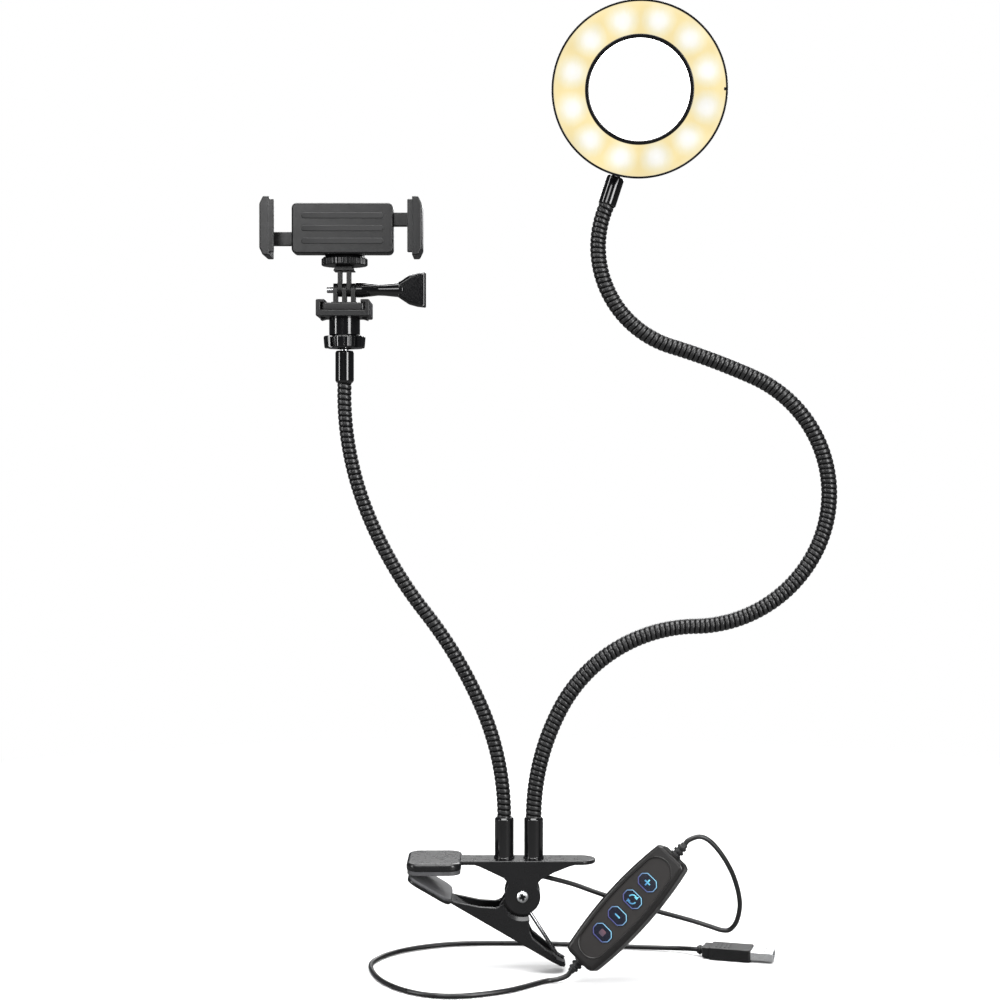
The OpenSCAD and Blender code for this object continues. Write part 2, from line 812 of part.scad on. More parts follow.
module cradle_spring() {
    color(steel) at_head() translate([0, -9, cradle_z]) difference() {
        rod_x(1.25, -18, 18);
        rod_x(0.7, -19, 19);
    }
}

// A jaw with its bar, drawn on the +X side. lift puts the bar above or below the middle.
module cradle_jaw(lift) {
    h = cradle_jaw_h / 2;
    translate([0, 0, cradle_z]) {
        slab(jaw_front, cradle_back) polygon([[jaw_in, -h], [jaw_out - 1.6, -h], [jaw_out, -h + 3.6],
            [jaw_out, h - 3.6], [jaw_out - 1.6, h], [jaw_in, h]]);
        block([jaw_in - 2.4, jaw_front, -h + 1.5], [jaw_in + 1, jaw_front + 1.6, h - 1.5]);
        block([-bar_stop, -11, lift - bar_h / 2], [jaw_in + 1, -7, lift + bar_h / 2]);
    }
}

module cradle_pad() {
    h = cradle_jaw_h / 2 - 2.5;
    translate([0, 0, cradle_z]) block([jaw_in - pad_t, jaw_front + 1.8, -h],
        [jaw_in, cradle_front - 0.5, h]);
}

module cradle_jaw_right() {
    color(black) at_head() cradle_jaw(bar_z);
}

module cradle_jaw_left() {
    color(black) at_head() mirror([1, 0, 0]) cradle_jaw(-bar_z);
}

module cradle_pad_right() {
    color(grey) at_head() cradle_pad();
}

module cradle_pad_left() {
    color(grey) at_head() mirror([1, 0, 0]) cradle_pad();
}

// ---------------------------------------------------------------- controller and lead

// Controller axes: local X along it, -Y its button face, Z across it
module at_controller() {
    at_pivot() translate(ctl_at) rotate([0, -ctl_rise, 0]) rotate([-ctl_roll, 0, 0]) children();
}

// A point of the controller, measured from the pivot
function ctl_point(p) =
    let (y = p[1] * cos(ctl_roll) + p[2] * sin(ctl_roll), z = p[2] * cos(ctl_roll) - p[1] * sin(ctl_roll))
    ctl_at + [p[0] * cos(ctl_rise) - z * sin(ctl_rise), y, p[0] * sin(ctl_rise) + z * cos(ctl_rise)];

// Bulged outline with cut corners, drawn smaller by inset, between y0 and y1
module ctl_body(inset, y0, y1) {
    half = ctl_len / 2 - inset;
    bow = 3.2;
    bow_r = (half * half + bow * bow) / (2 * bow);
    w = ctl_w / 2 - inset;
    intersection() {
        slab(y0, y1) polygon([[-half, -w + 6.5], [-half + 4, -w + 1.5], [-half + 7, -w - 1],
            [half - 7, -w - 1],
            [half - 4, -w + 1.5], [half, -w + 6.5], [half, w - 6.5], [half - 4, w - 1.5], [half - 7, w + 1],
            [-half + 7, w + 1], [-half + 4, w - 1.5], [-half, w - 6.5]]);
        translate([0, 0, w - bow_r]) rotate([90, 0, 0]) translate([0, 0, -y1])
            cylinder(r = bow_r, h = y1 - y0, $fn = 360);
        translate([0, 0, bow_r - w]) rotate([90, 0, 0]) translate([0, 0, -y1])
            cylinder(r = bow_r, h = y1 - y0, $fn = 360);
    }
}

// A button's outline with cut corners, drawn larger by grow
module button_outline(grow) {
    x = button_len / 2 + grow;
    z = button_w / 2 + grow;
    cut = button_cut;
    polygon([[-x, -z + cut], [-x + cut, -z], [x - cut, -z], [x, -z + cut], [x, z - cut], [x - cut, z],
        [-x + cut, z], [-x, z - cut]]);
}

// Long panel with bulged sides and round ends, round the four buttons
module panel_outline() {
    end_x = 23.6;
    end_r = 7.6;
    for (x = [-end_x, end_x]) translate([x, 0]) circle(end_r);
    polygon([[-end_x, -end_r], [-12, -8.8], [0, -9.2], [12, -8.8], [end_x, -end_r], [end_x, end_r],
        [12, 8.8], [0, 9.2], [-12, 8.8], [-end_x, end_r]]);
}

module controller_front() {
    front = -ctl_t / 2;
    color(dark) at_controller() difference() {
        ctl_body(0, front, 0);
        ctl_body(1.6, front + 1.8, 1);
        slab(front - 1, front + 0.5) panel_outline();
        for (k = [-1.5:1:1.5]) slab(front - 1, 1) translate([k * button_pitch, 0])
            button_outline(0.12);
        end_bores();
    }
}

module end_bores() {
    rod_x(cable_r + 0.2, -ctl_len / 2 - 1, -ctl_len / 2 + 6);
    rod_x(cable_r + 0.2, ctl_len / 2 - 6, ctl_len / 2 + 1);
}

module controller_back() {
    color(dark) at_controller() difference() {
        ctl_body(0, 0, ctl_t / 2);
        ctl_body(1.6, -1, ctl_t / 2 - 1.6);
        end_bores();
    }
}

module controller_board() {
    color("#2f5a3a") at_controller() block([-24, -0.8, -7.5], [24, 0.8, 7.5]);
}

// Button k of four, counted from the lower end
module button(k) {
    front = -ctl_t / 2;
    color(black) at_controller() slab(front - 0.15, front + 3) translate([(k - 1.5) * button_pitch, 0])
        button_outline(0);
}

module power_button() {
    button(0);
}

module dim_button() {
    button(1);
}

module mode_button() {
    button(2);
}

module bright_button() {
    button(3);
}

// Ribbed strain reliefs at both ends of the controller
module lead_boots() {
    color(black) at_controller() for (side = [-1, 1]) {
        rotate([0, side * up, 0]) translate([0, 0, ctl_len / 2]) rotate_extrude()
            polygon([[cable_r + 0.2, 0], [3, 0], [3, 1.4], [2.2, 1.6], [2.2, 2.4], [2.8, 2.6], [2.8, 3.8],
                [2, 4], [2, 4.8], [2.5, 5], [2.5, 6.2], [1.9, 6.4], [1.8, 8], [cable_r + 0.2, 8]]);
    }
}

lead_exit = 18.6;
// Along the controller from its middle: where a lead is straight, and where it may start to bend
lead_in = ctl_len / 2 + 7;
lead_out = ctl_len / 2 + 10.5;

// From inside the ring arm's collar, under the plate, behind the controller, round and into its upper end
module lamp_lead() {
    route = [[ring_collar_x, 0, lead_exit], [ring_collar_x, 0, 12.2], [7.3, 0, 9.6], [12, -0.5, 8.6],
        [26, -3, 5.5], [40, -5, 1], [60, -6.5, -5.1], [84.3, -8, -11.4], [95, -8.3, -14.6],
        [102.7, -8.5, -17], [107, -9, -16.4], [110.3, -10.5, -11.3], [111.3, -13.5, -1.3],
        [108.1, -17.5, 11.4], [102.6, -20.5, 22.4], [95.8, -22.5, 31], [90, -23.6, 34.2],
        ctl_point([lead_out, 0, 0]), ctl_point([lead_in, 0, 0]), ctl_point([lead_in - 4, 0, 0]),
        ctl_point([ctl_len / 2 - 1, 0, 0])];
    color(black) at_pivot() cable(smooth(route, 5), cable_r);
}

usb_at = [109.6, 22, -36.25];
usb_yaw = -16.4;
usb_half = 13;
usb_reach = 11.5;
usb_shell_w = 12;
usb_shell_t = 4.5;

// USB plug axes: local X points out of the plug, Z is up
module at_usb() {
    at_pivot() translate(usb_at) rotate([0, 0, usb_yaw]) children();
}

function usb_point(x) = usb_at + x * [cos(usb_yaw), sin(usb_yaw), 0];

// From the controller's lower end, once round on the table, and back to the plug
module usb_lead() {
    rest_z = floor_z + cable_r + 0.05;
    front = [[10.3, -26.6, rest_z], [-7.8, -42.5, rest_z], [-29.2, -51.4, rest_z],
        [-47, -50, rest_z], [-62, -39, rest_z], [-73.5, -20.5, rest_z]];
    back = [for (a = [-180:-20.5:-262]) [-20 + 59 * cos(a), 2.5 + 44.5 * sin(a), rest_z]];
    route = concat([ctl_point([1 - ctl_len / 2, 0, 0]), ctl_point([4 - lead_in, 0, 0]),
        ctl_point([-lead_in, 0, 0]), ctl_point([-lead_out, 0, 0]), [17, -24.7, rest_z + 0.4]], front,
        back, [[8, 46.5, rest_z], [36, 43, rest_z], [64, 38, rest_z + 0.2], [84, 33, rest_z + 0.9],
        usb_point(-usb_half - 6), usb_point(-usb_half - 2), usb_point(1 - usb_half)]);
    color(black) at_pivot() cable(smooth(route, 5), cable_r);
}

// The plug's metal box, grown by fit on its sides, from x0 to x1
module usb_box(fit, x0, x1) {
    w = usb_shell_w / 2 + fit;
    t = usb_shell_t / 2 + fit;
    block([x0, -w, -t], [x1, w, t]);
}

module usb_grip() {
    w = usb_shell_w / 2 + 1;
    color(black) at_usb() difference() {
        union() {
            block([-usb_half + 4, -w, -3.2], [usb_half, w, 3.2]);
            block([-usb_half, -w + 1.3, -2.7], [-usb_half + 5, w - 1.3, 2.7]);
            rod_x(2.4, -usb_half - 3.4, -usb_half + 1);
        }
        rod_x(cable_r + 0.2, -usb_half - 5, -usb_half + 1.5);
        usb_box(0.05, usb_half - 4, usb_half + 1);
    }
}

module usb_shell() {
    wall = 0.3;
    color(steel) at_usb() difference() {
        usb_box(0, usb_half - 3.9, usb_half + usb_reach);
        usb_box(-wall, usb_half - 3.6, usb_half + usb_reach + 1);
    }
}

module usb_tongue() {
    color("#f0f0f0") at_usb() block([usb_half - 3.5, -5.4, 0], [usb_half + usb_reach - 1, 5.4, 1.8]);
}

// ---------------------------------------------------------------- drawing

upper_clamp_arm();
upper_jaw_pad();
pivot_screw();
pivot_nut();
ring_arm_collar();
holder_arm_collar();
collar_nuts();
lower_clamp_arm();
lower_jaw_shell();
lower_jaw_pad();
clamp_spring();
ring_hose_base();
ring_hose_lower();
ring_hose_middle();
ring_hose_upper();
ring_core_base();
ring_core_lower();
ring_core_middle();
ring_core_upper();
ring_ferrule();
ring_rear_housing();
ring_diffuser();
led_board();
led_chips();
ring_housing_screws();
tilt_screw();
holder_hose_base();
holder_hose_lower();
holder_hose_upper();
holder_ferrule();
ball_stud();
socket_base();
lock_nut();
quick_buckle();
thumb_nut();
thumb_screw();
prong_adapter();
tripod_screw();
lock_disc();
cradle_housing();
cradle_back_cover();
cradle_insert();
cradle_spring();
cradle_jaw_left();
cradle_jaw_right();
cradle_pad_left();
cradle_pad_right();
controller_front();
controller_back();
controller_board();
power_button();
dim_button();
mode_button();
bright_button();
lead_boots();
lamp_lead();
usb_lead();
usb_grip();
usb_shell();
usb_tongue();
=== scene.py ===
"""Looks of the clip-on ring light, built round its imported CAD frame.

Shapes are drawn in millimetres in the part's own local frames (the clamp's pivot, the ring, the ball
head, the controller and the USB plug) and placed in the row frame, in metres, by one matrix each.
"""
import json
import math

import bmesh
import bpy
import numpy as np
from mathutils import Matrix, Vector


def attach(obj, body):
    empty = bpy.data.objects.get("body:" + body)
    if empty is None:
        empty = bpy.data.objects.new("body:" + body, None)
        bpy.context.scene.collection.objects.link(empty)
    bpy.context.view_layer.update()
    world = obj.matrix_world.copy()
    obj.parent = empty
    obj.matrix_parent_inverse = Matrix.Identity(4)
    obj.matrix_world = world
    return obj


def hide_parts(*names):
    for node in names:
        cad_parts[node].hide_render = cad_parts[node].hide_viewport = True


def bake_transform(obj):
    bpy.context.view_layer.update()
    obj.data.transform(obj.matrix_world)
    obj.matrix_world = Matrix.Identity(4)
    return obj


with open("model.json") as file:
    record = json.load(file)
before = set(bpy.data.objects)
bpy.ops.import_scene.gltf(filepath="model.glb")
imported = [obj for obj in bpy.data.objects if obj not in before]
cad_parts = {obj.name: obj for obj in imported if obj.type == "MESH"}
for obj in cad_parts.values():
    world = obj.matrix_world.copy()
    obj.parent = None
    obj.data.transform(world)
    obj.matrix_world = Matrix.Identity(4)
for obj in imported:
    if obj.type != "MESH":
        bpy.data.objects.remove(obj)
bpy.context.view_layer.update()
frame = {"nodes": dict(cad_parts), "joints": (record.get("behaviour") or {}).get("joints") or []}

# ---- frames

MM = 0.001
X, Y, Z = "XYZ"
JOINTS = {joint["name"]: joint for joint in frame["joints"]}


def joint_at(name):
    return Vector(JOINTS[name]["pos_m"])


def move(x, y, z):
    return Matrix.Translation((x, y, z))


def turn(degrees, axis):
    return Matrix.Rotation(math.radians(degrees), 4, axis)


PIVOT = joint_at("clamp_hinge")
HEAD = joint_at("socket_swivel")
KNUCKLE = joint_at("ring_tilt")
CLAMP_ANGLE = 30
LEAN = math.degrees(math.atan2(-JOINTS["ring_tilt"]["axis"][2], JOINTS["ring_tilt"]["axis"][0]))
RING_TILT = 11.5
RING_CENTRE = Vector((60.3, 0, 416.8))
CTL_AT = (53.2, -24, -1.8)
CTL_RISE = 48
CTL_ROLL = 22
USB_AT = (109.6, 22, -36.25)
USB_YAW = -16.4

SIZE = Matrix.Scale(MM, 4)
AT_PIVOT = move(*PIVOT) @ SIZE
AT_HEAD = move(HEAD.x, 0, PIVOT.z) @ SIZE
AT_ARM = AT_PIVOT @ turn(CLAMP_ANGLE, Y)
AT_KNUCKLE = move(*KNUCKLE) @ SIZE @ turn(LEAN, Y)
AT_TILTED = AT_KNUCKLE @ turn(RING_TILT, X)
TO_RING = RING_CENTRE - (KNUCKLE - PIVOT) / MM
AT_RING = AT_TILTED @ turn(-LEAN, Y) @ move(*TO_RING) @ turn(90, X)
AT_CTL = AT_PIVOT @ move(*CTL_AT) @ turn(-CTL_RISE, Y) @ turn(-CTL_ROLL, X)
AT_USB = AT_PIVOT @ move(*USB_AT) @ turn(USB_YAW, Z)

# Outlines drawn in X and Z, raised towards -Y
SIDE = turn(90, X)
# Outlines drawn in Y and Z, raised towards +X
PLANK = Matrix(((0, 0, 1, 0), (1, 0, 0, 0), (0, 1, 0, 0), (0, 0, 0, 1)))
# Outlines drawn on the controller's face, raised out of it
AT_FACE = AT_CTL @ SIDE

# ---- outlines


def polar(radius, degrees):
    return radius * math.cos(math.radians(degrees)), radius * math.sin(math.radians(degrees))


def arc(radius, start, end, steps, centre=(0, 0)):
    """Points along an arc, in degrees."""
    points = [polar(radius, a) for a in np.linspace(start, end, steps + 1)]
    return [(centre[0] + x, centre[1] + y) for x, y in points]


def fillet(points, radius, steps=4, closed=True):
    """Rounds the corners of a polygon. radius is one number, or one for each corner."""
    count = len(points)
    radii = radius if isinstance(radius, (list, tuple)) else [radius] * count
    out = []
    for i, corner in enumerate(points):
        p = Vector(corner)
        a = Vector(points[i - 1]) - p
        b = Vector(points[(i + 1) % count]) - p
        ua, ub = a.normalized(), b.normalized()
        half = math.acos(max(-1, min(1, ua.dot(ub)))) / 2
        kept = radii[i] <= 0 or (not closed and i in (0, count - 1))
        if kept or half > math.radians(88):
            out.append(tuple(p))
            continue
        cut = min(radii[i] / math.tan(half), 0.48 * a.length, 0.48 * b.length)
        r = cut * math.tan(half)
        centre = p + (ua + ub).normalized() * (r / math.sin(half))
        first = p + ua * cut - centre
        last = p + ub * cut - centre
        start = math.atan2(first.y, first.x)
        swing = (math.atan2(last.y, last.x) - start + math.pi) % (2 * math.pi) - math.pi
        for k in range(steps + 1):
            t = start + swing * k / steps
            out.append((centre.x + r * math.cos(t), centre.y + r * math.sin(t)))
    return out


def folded(half):
    """A whole outline from its lower half, which is mirrored to make the upper one."""
    return half + [(x, -y) for x, y in half[::-1]]


def rect(x0, x1, half, radius, steps=5):
    """A rounded rectangle from x0 to x1 with half height half."""
    return fillet(folded([(x0, -half), (x1, -half)]), radius, steps)


def anticlockwise(points):
    p = np.array(points, float)
    q = np.roll(p, -1, 0)
    area = (p[:, 0] * q[:, 1] - q[:, 0] * p[:, 1]).sum()
    return p if area > 0 else p[::-1]


def inset(points, distance):
    """An outline moved inwards by distance, anticlockwise. Corners too tight for it close up."""
    p = anticlockwise(points)
    edge = np.roll(p, -1, 0) - p
    edge /= np.linalg.norm(edge, axis=1)[:, None] + 1e-12
    normal = np.stack([-edge[:, 1], edge[:, 0]], 1)
    before = np.roll(normal, 1, 0)
    mitre = (normal + before) / (1 + (normal * before).sum(1))[:, None].clip(0.3)
    moved = p + distance * mitre
    turned = ((np.roll(moved, -1, 0) - moved) * edge).sum(1) <= 1e-9
    count = len(p)
    for first in range(count):
        if not turned[first] or turned[first - 1]:
            continue
        run = [first]
        while turned[run[-1] % count] and len(run) < count:
            run.append(run[-1] + 1)
        run = [i % count for i in run]
        moved[run] = (moved[run[0]] + moved[run[-1]]) / 2
    return moved


# ---- solids as (vertices, faces)


def loft(rings):
    """Joins rings of points, each with the same count, into one closed skin with a cap at both ends."""
    count = len(rings[0])
    verts = [tuple(p) for ring in rings for p in ring]
    faces = [list(range(count))[::-1]]
    for k in range(len(rings) - 1):
        a = k * count
        for i in range(count):
            j = (i + 1) % count
            faces.append([a + i, a + j, a + count + j, a + count + i])
    faces.append([(len(rings) - 1) * count + i for i in range(count)])
    return verts, faces


def slab(outline, low, high, edge=0.4, top=None, steps=3):
    """An outline raised from low to high, with both rims rounded by edge, or the upper one by top."""
    top = edge if top is None else top
    support = 0.06

    def rim(size, z, sign):
        levels = [(size + support, z), (size, z)] if size else [(0, z)]
        for t in np.linspace(0, math.pi / 2, steps + 1)[1:] if size else []:
            levels.append((size * (1 - math.sin(t)), z + sign * size * (1 - math.cos(t))))
        return levels

    levels = rim(edge, low, 1) + rim(top, high, -1)[::-1]
    return loft([[(x, y, z) for x, y in inset(outline, depth)] for depth, z in levels])


def block(low, high, edge=0.4, corner=None):
    """A box between two corners, with rounded edges."""
    corner = max(edge + 0.15, corner or 0)
    flat = fillet([(low[0], low[1]), (high[0], low[1]), (high[0], high[1]), (low[0], high[1])], corner)
    return slab(flat, low[2], high[2], edge)


def lathe(profile, sides=72, flutes=(0, 0, 0), start=0, swing=360):
    """Turns (radius, height) points about Z. flutes is (count, depth, least radius that they cut)."""
    whole = swing == 360
    angles = np.radians(start + swing * np.arange(sides if whole else sides + 1) / sides)
    count, depth, least = flutes
    columns = len(angles)
    verts, index = [], []
    for r, z in profile:
        if r < 1e-6 and whole:
            index.append([len(verts)] * columns)
            verts.append((0, 0, z))
            continue
        index.append(list(range(len(verts), len(verts) + columns)))
        for a in angles:
            cut = depth * (0.5 - 0.5 * math.cos(count * a)) if r >= least and count else 0
            verts.append(((r - cut) * math.cos(a), (r - cut) * math.sin(a), z))
    faces = []
    for k in range(len(profile)):
        a, b = index[k], index[(k + 1) % len(profile)]
        if a[0] == a[-1] and b[0] == b[-1]:
            continue
        for i in range(sides):
            j = (i + 1) % columns
            face = list(dict.fromkeys([a[i], a[j], b[j], b[i]]))
            if len(face) > 2:
                faces.append(face)
    if not whole:
        faces.append([row[0] for row in index])
        faces.append([row[-1] for row in index][::-1])
    return verts, faces


def tube(points, radii, sides=16, normal=None):
    """A round tube along points. radii is one number, or a table along and around it."""
    p = np.array(points, float)
    radii = np.broadcast_to(np.array(radii, float), (len(p), sides))
    tangent = np.gradient(p, axis=0)
    tangent /= np.linalg.norm(tangent, axis=1)[:, None]
    side = np.array(normal, float) if normal else np.cross(tangent[0], (0.3, 0.9, 0.2))
    angles = 2 * np.pi * np.arange(sides) / sides
    rings = []
    for i in range(len(p)):
        side = side - tangent[i] * (side @ tangent[i])
        side /= np.linalg.norm(side)
        across = np.cross(tangent[i], side)
        outward = np.cos(angles)[:, None] * side + np.sin(angles)[:, None] * across
        rings.append((p[i] + radii[i][:, None] * outward).tolist())
    return loft(rings)


def placed(geometry, matrix):
    """Geometry moved by a matrix, with its faces turned over if the matrix mirrors it."""
    verts, faces = geometry
    m = np.array(matrix)
    moved = np.array(verts, float) @ m[:3, :3].T + m[:3, 3]
    if np.linalg.det(m[:3, :3]) < 0:
        faces = [list(f)[::-1] for f in faces]
    return moved.tolist(), faces


def joined(*parts):
    """Several closed skins as one geometry."""
    verts, faces = [], []
    for part_verts, part_faces in parts:
        base = len(verts)
        verts += [tuple(v) for v in part_verts]
        faces += [[base + i for i in f] for f in part_faces]
    return verts, faces


def upright(*outline, **rims):
    """A slab whose outline is drawn in X and Z, raised towards -Y."""
    return placed(slab(*outline, **rims), SIDE)


def mirrored(geometry, axis):
    flip = {X: (-1, 1, 1), Y: (1, -1, 1)}[axis]
    return placed(geometry, Matrix.Diagonal((*flip, 1)))


def linked(name, data):
    made = bpy.data.objects.new(name, data)
    bpy.context.scene.collection.objects.link(made)
    return made


def mesh_of(name, geometry, least=1e-4):
    """A mesh with points closer than least merged and its faces turned outwards."""
    mesh = bpy.data.meshes.new(name)
    verts, faces = geometry
    mesh.from_pydata([tuple(v) for v in verts], [], faces)
    mesh.update()
    work = bmesh.new()
    work.from_mesh(mesh)
    bmesh.ops.remove_doubles(work, verts=work.verts, dist=least)
    bmesh.ops.recalc_face_normals(work, faces=work.faces)
    work.to_mesh(mesh)
    work.free()
    return mesh


def carved(geometry, *cutters, mode="DIFFERENCE"):
    """Geometry with closed cutters taken out of it, or added to it."""
    base = linked("work", mesh_of("work", geometry))
    tools = []
    for cutter in cutters:
        tool = linked("tool", mesh_of("tool", cutter))
        boolean = base.modifiers.new("cut", "BOOLEAN")
        boolean.operation = mode
        boolean.solver = "EXACT"
        boolean.object = tool
        tools.append(tool)
    done = base.evaluated_get(bpy.context.evaluated_depsgraph_get()).to_mesh()
    verts = [tuple(v.co) for v in done.vertices]
    faces = [list(f.vertices) for f in done.polygons]
    for used in [base] + tools:
        bpy.data.objects.remove(used)
    if not verts:
        raise ValueError("a carved piece came out empty")
    return verts, faces


def fused(*parts):
    return carved(*parts, mode="UNION")


def piece(name, geometry, at, material, body, *replaces, even=True, sharp=34):
    """A finished piece: geometry in a local frame in millimetres, its place, material and body."""
    mesh = mesh_of(name, placed(geometry, at), 1e-4 * MM)
    mesh.materials.append(material)
    mesh.shade_smooth()
    mesh.set_sharp_from_angle(angle=math.radians(sharp))
    made = linked(name, mesh)
    if even:
        made.modifiers.new("even_normals", "WEIGHTED_NORMAL").keep_sharp = True
    if body:
        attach(made, body)
    if replaces:
        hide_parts(*replaces)
    return made


# ---- materials


class Look:
    """A material under construction: adds nodes and links sockets."""

    def __init__(self, name, slot):
        self.material = bpy.data.materials.new(name)
        self.material["slot"] = slot
        self.material.use_nodes = True
        self.tree = self.material.node_tree
        self.shader = self.tree.nodes["Principled BSDF"]
        self.place = self.add("TexCoord").outputs["Object"]

    def add(self, kind, inputs=None, **settings):
        node = self.tree.nodes.new("ShaderNode" + kind)
        for key, value in settings.items():
            setattr(node, key, value)
        for key, value in (inputs or {}).items():
            self.put(node.inputs[key], value)
        return node

    def put(self, socket, value):
        if isinstance(value, bpy.types.NodeSocket):
            self.tree.links.new(value, socket)
        else:
            socket.default_value = value

    def set(self, **inputs):
        for key, value in inputs.items():
            self.put(self.shader.inputs[key.replace("_", " ").title().replace("Ior", "IOR")], value)

    def noise(self, scale, detail=2.0, stretch=None):
        """Noise from 0 to 1. scale is in features per metre; stretch squeezes it along an axis."""
        where = self.place
        if stretch:
            where = self.add("Mapping", {"Vector": self.place, "Scale": stretch}).outputs[0]
        return self.add("TexNoise", {"Vector": where, "Scale": scale, "Detail": detail}).outputs["Fac"]

    def math(self, operation, a, b=0.0, c=0.0):
        return self.add("Math", {0: a, 1: b, 2: c}, operation=operation).outputs[0]

    def length(self, a, b):
        """The long side of a right triangle whose short sides are a and b."""
        squares = [self.math("POWER", side, 2.0) for side in (a, b)]
        return self.math("SQRT", self.math("ADD", *squares))

    def spread(self, value, low, high, start=0.0, end=1.0):
        """Maps the range from start to end onto the range from low to high."""
        ends = {"From Min": start, "From Max": end, "To Min": low, "To Max": high}
        return self.add("MapRange", {"Value": value, **ends}).outputs[0]

    def mix(self, share, a, b):
        return self.add("Mix", {0: share, 6: a, 7: b}, data_type="RGBA").outputs[2]

    def bump(self, height, strength, distance):
        inputs = {"Height": height, "Strength": strength, "Distance": distance * MM}
        return self.add("Bump", inputs).outputs[0]


def shade(colour, factor):
    return tuple(min(1.0, c * factor) for c in colour[:3]) + (1.0,)


def plastic(name, slot, colour, rough, grain=0.25, grain_size=0.35, wear=0.5, coat=0.0):
    """Moulded plastic: slow colour drift, fine grain in the surface, paler worn edges, smudged gloss."""
    look = Look(name, slot)
    drift = look.noise(70, 3.0)
    smudge = look.noise(260, 4.0)
    fine = look.noise(1000 / grain_size, 2.0)
    tone = look.mix(drift, shade(colour, 0.75), shade(colour, 1.3))
    convex = look.spread(look.add("NewGeometry").outputs["Pointiness"], 0.0, wear, 0.502, 0.56)
    edge = look.math("MULTIPLY", convex, look.spread(smudge, 0.4, 1.0, 0.3, 0.7))
    look.set(base_color=look.mix(edge, tone, shade(colour, 3.2)))
    gloss = look.spread(smudge, rough * 0.92, rough * 1.1, 0.3, 0.7)
    look.set(roughness=look.math("ADD", gloss, look.spread(fine, -0.015, 0.015)))
    look.set(normal=look.bump(fine, grain, 0.03), specular_ior_level=0.42)
    look.set(coat_weight=coat, coat_roughness=0.08)
    return look.material


def rubber(name, slot, colour, rough, sheen=0.25, grain_size=0.5, dust=0.35, shaded_grooves=False):
    """Soft rubber: matt, finely pitted, with a little pale dust on it.
    With shaded_grooves it paints shade into the hose's grooves: darker colour and weaker reflection there.
    """
    look = Look(name, slot)
    cells = look.add("TexVoronoi", {"Vector": look.place, "Scale": 1000 / grain_size})
    pits = cells.outputs["Distance"]
    cloud = look.noise(120, 5.0)
    dusty = look.spread(cloud, 0.0, dust, 0.52, 0.8)
    tone = look.mix(dusty, shade(colour, 0.9), shade(colour, 1.9))
    if shaded_grooves:
        # Painted shade: the groove mask darkens the colour and dims the reflection in the grooves
        groove_shade = look.add("Attribute", attribute_name="groove").outputs["Fac"]
        tone = look.mix(look.spread(groove_shade, 0.0, 1.0, 0.1, 0.6), tone, shade(colour, 0.12))
        look.set(specular_ior_level=look.spread(groove_shade, 0.5, 0.05, 0.1, 0.6))
    look.set(base_color=tone)
    look.set(roughness=look.spread(cloud, rough - 0.08, rough + 0.08, 0.3, 0.7))
    look.set(sheen_weight=sheen, sheen_roughness=0.4, normal=look.bump(pits, 0.3, 0.06))
    return look.material


def metal(name, slot, colour, rough, brushed=(1, 1, 12)):
    """Plated or drawn steel: fine brushing, faint stains."""
    look = Look(name, slot)
    lines = look.noise(900, 3.0, stretch=brushed)
    stain = look.noise(140, 4.0)
    look.set(base_color=look.mix(look.spread(stain, 0.0, 0.6, 0.45, 0.75), (*colour, 1), shade(colour, 0.62)))
    look.set(metallic=1.0, roughness=look.spread(lines, rough * 0.7, rough * 1.35, 0.3, 0.7))
    look.set(normal=look.bump(lines, 0.05, 0.02))
    return look.material


def lit_plastic(name, slot, centre, spots, spot_r):
    """The lit diffuser: cream plastic with a white glow in front of each LED and a fine grain in it."""
    look = Look(name, slot)
    across = look.add("VectorMath", {0: look.place, 1: centre}, operation="SUBTRACT").outputs[0]
    split = look.add("SeparateXYZ", {0: across}).outputs
    lift = look.math("MULTIPLY", split[2], 1 / math.cos(math.radians(RING_TILT)))
    angle = look.math("ARCTAN2", lift, split[0])
    step = 2 * math.pi / spots
    near = look.math("SUBTRACT", look.math("WRAP", angle, step, 0.0), step / 2)
    radius = look.length(lift, split[0])
    along = look.math("MULTIPLY", near, spot_r)
    outward = look.math("SUBTRACT", radius, spot_r)
    away = look.length(along, outward)
    grain = look.noise(900, 3.0, stretch=(1, 1, 0.25))
    cloud = look.noise(60, 2.0)
    wobble = look.math("ADD", away, look.spread(grain, -0.0007, 0.0007))
    ramp = look.add("ValToRGB", {"Fac": look.spread(wobble, 0.0, 1.0, 0.0005, 0.013)})
    stops = [(0.0, (1.08, 1.08, 1.06)), (0.22, (1.05, 1.03, 0.95)), (0.42, (1, 0.93, 0.68)),
             (0.68, (1, 0.84, 0.45)), (1.0, (1, 0.8, 0.38))]
    while len(ramp.color_ramp.elements) < len(stops):
        ramp.color_ramp.elements.new(0.5)
    for element, (at, colour) in zip(ramp.color_ramp.elements, stops):
        element.position = at
        element.color = (*colour, 1)
    edge = look.spread(look.math("ABSOLUTE", outward), 0.0, 0.3, 0.006, 0.0095)
    colour = look.mix(edge, ramp.outputs["Color"], (1, 0.95, 0.74, 1))
    look.set(base_color=(0.02, 0.018, 0.012, 1), roughness=0.6, specular_ior_level=0.1, emission_color=colour)
    look.set(emission_strength=look.spread(cloud, 0.86, 0.98, 0.3, 0.7))
    look.set(normal=look.bump(grain, 0.15, 0.05))
    return look.material


def glow(name, slot, low, high, strength):
    """A lit line whose colour runs from its lower left to its upper right."""
    look = Look(name, slot)
    where = look.add("TexCoord").outputs["Generated"]
    split = look.add("SeparateXYZ", {0: where}).outputs
    run = look.math("ADD", look.math("MULTIPLY", split[0], 0.65), look.math("MULTIPLY", split[2], 0.35))
    flicker = look.noise(900, 2.0)
    share = look.spread(look.math("ADD", run, look.spread(flicker, -0.12, 0.12)), 0.0, 1.0, 0.25, 0.95)
    look.set(base_color=(0.02, 0.03, 0.05, 1), roughness=0.4, emission_color=look.mix(share, low, high))
    look.set(emission_strength=look.spread(share, strength * 0.55, strength))
    return look.material


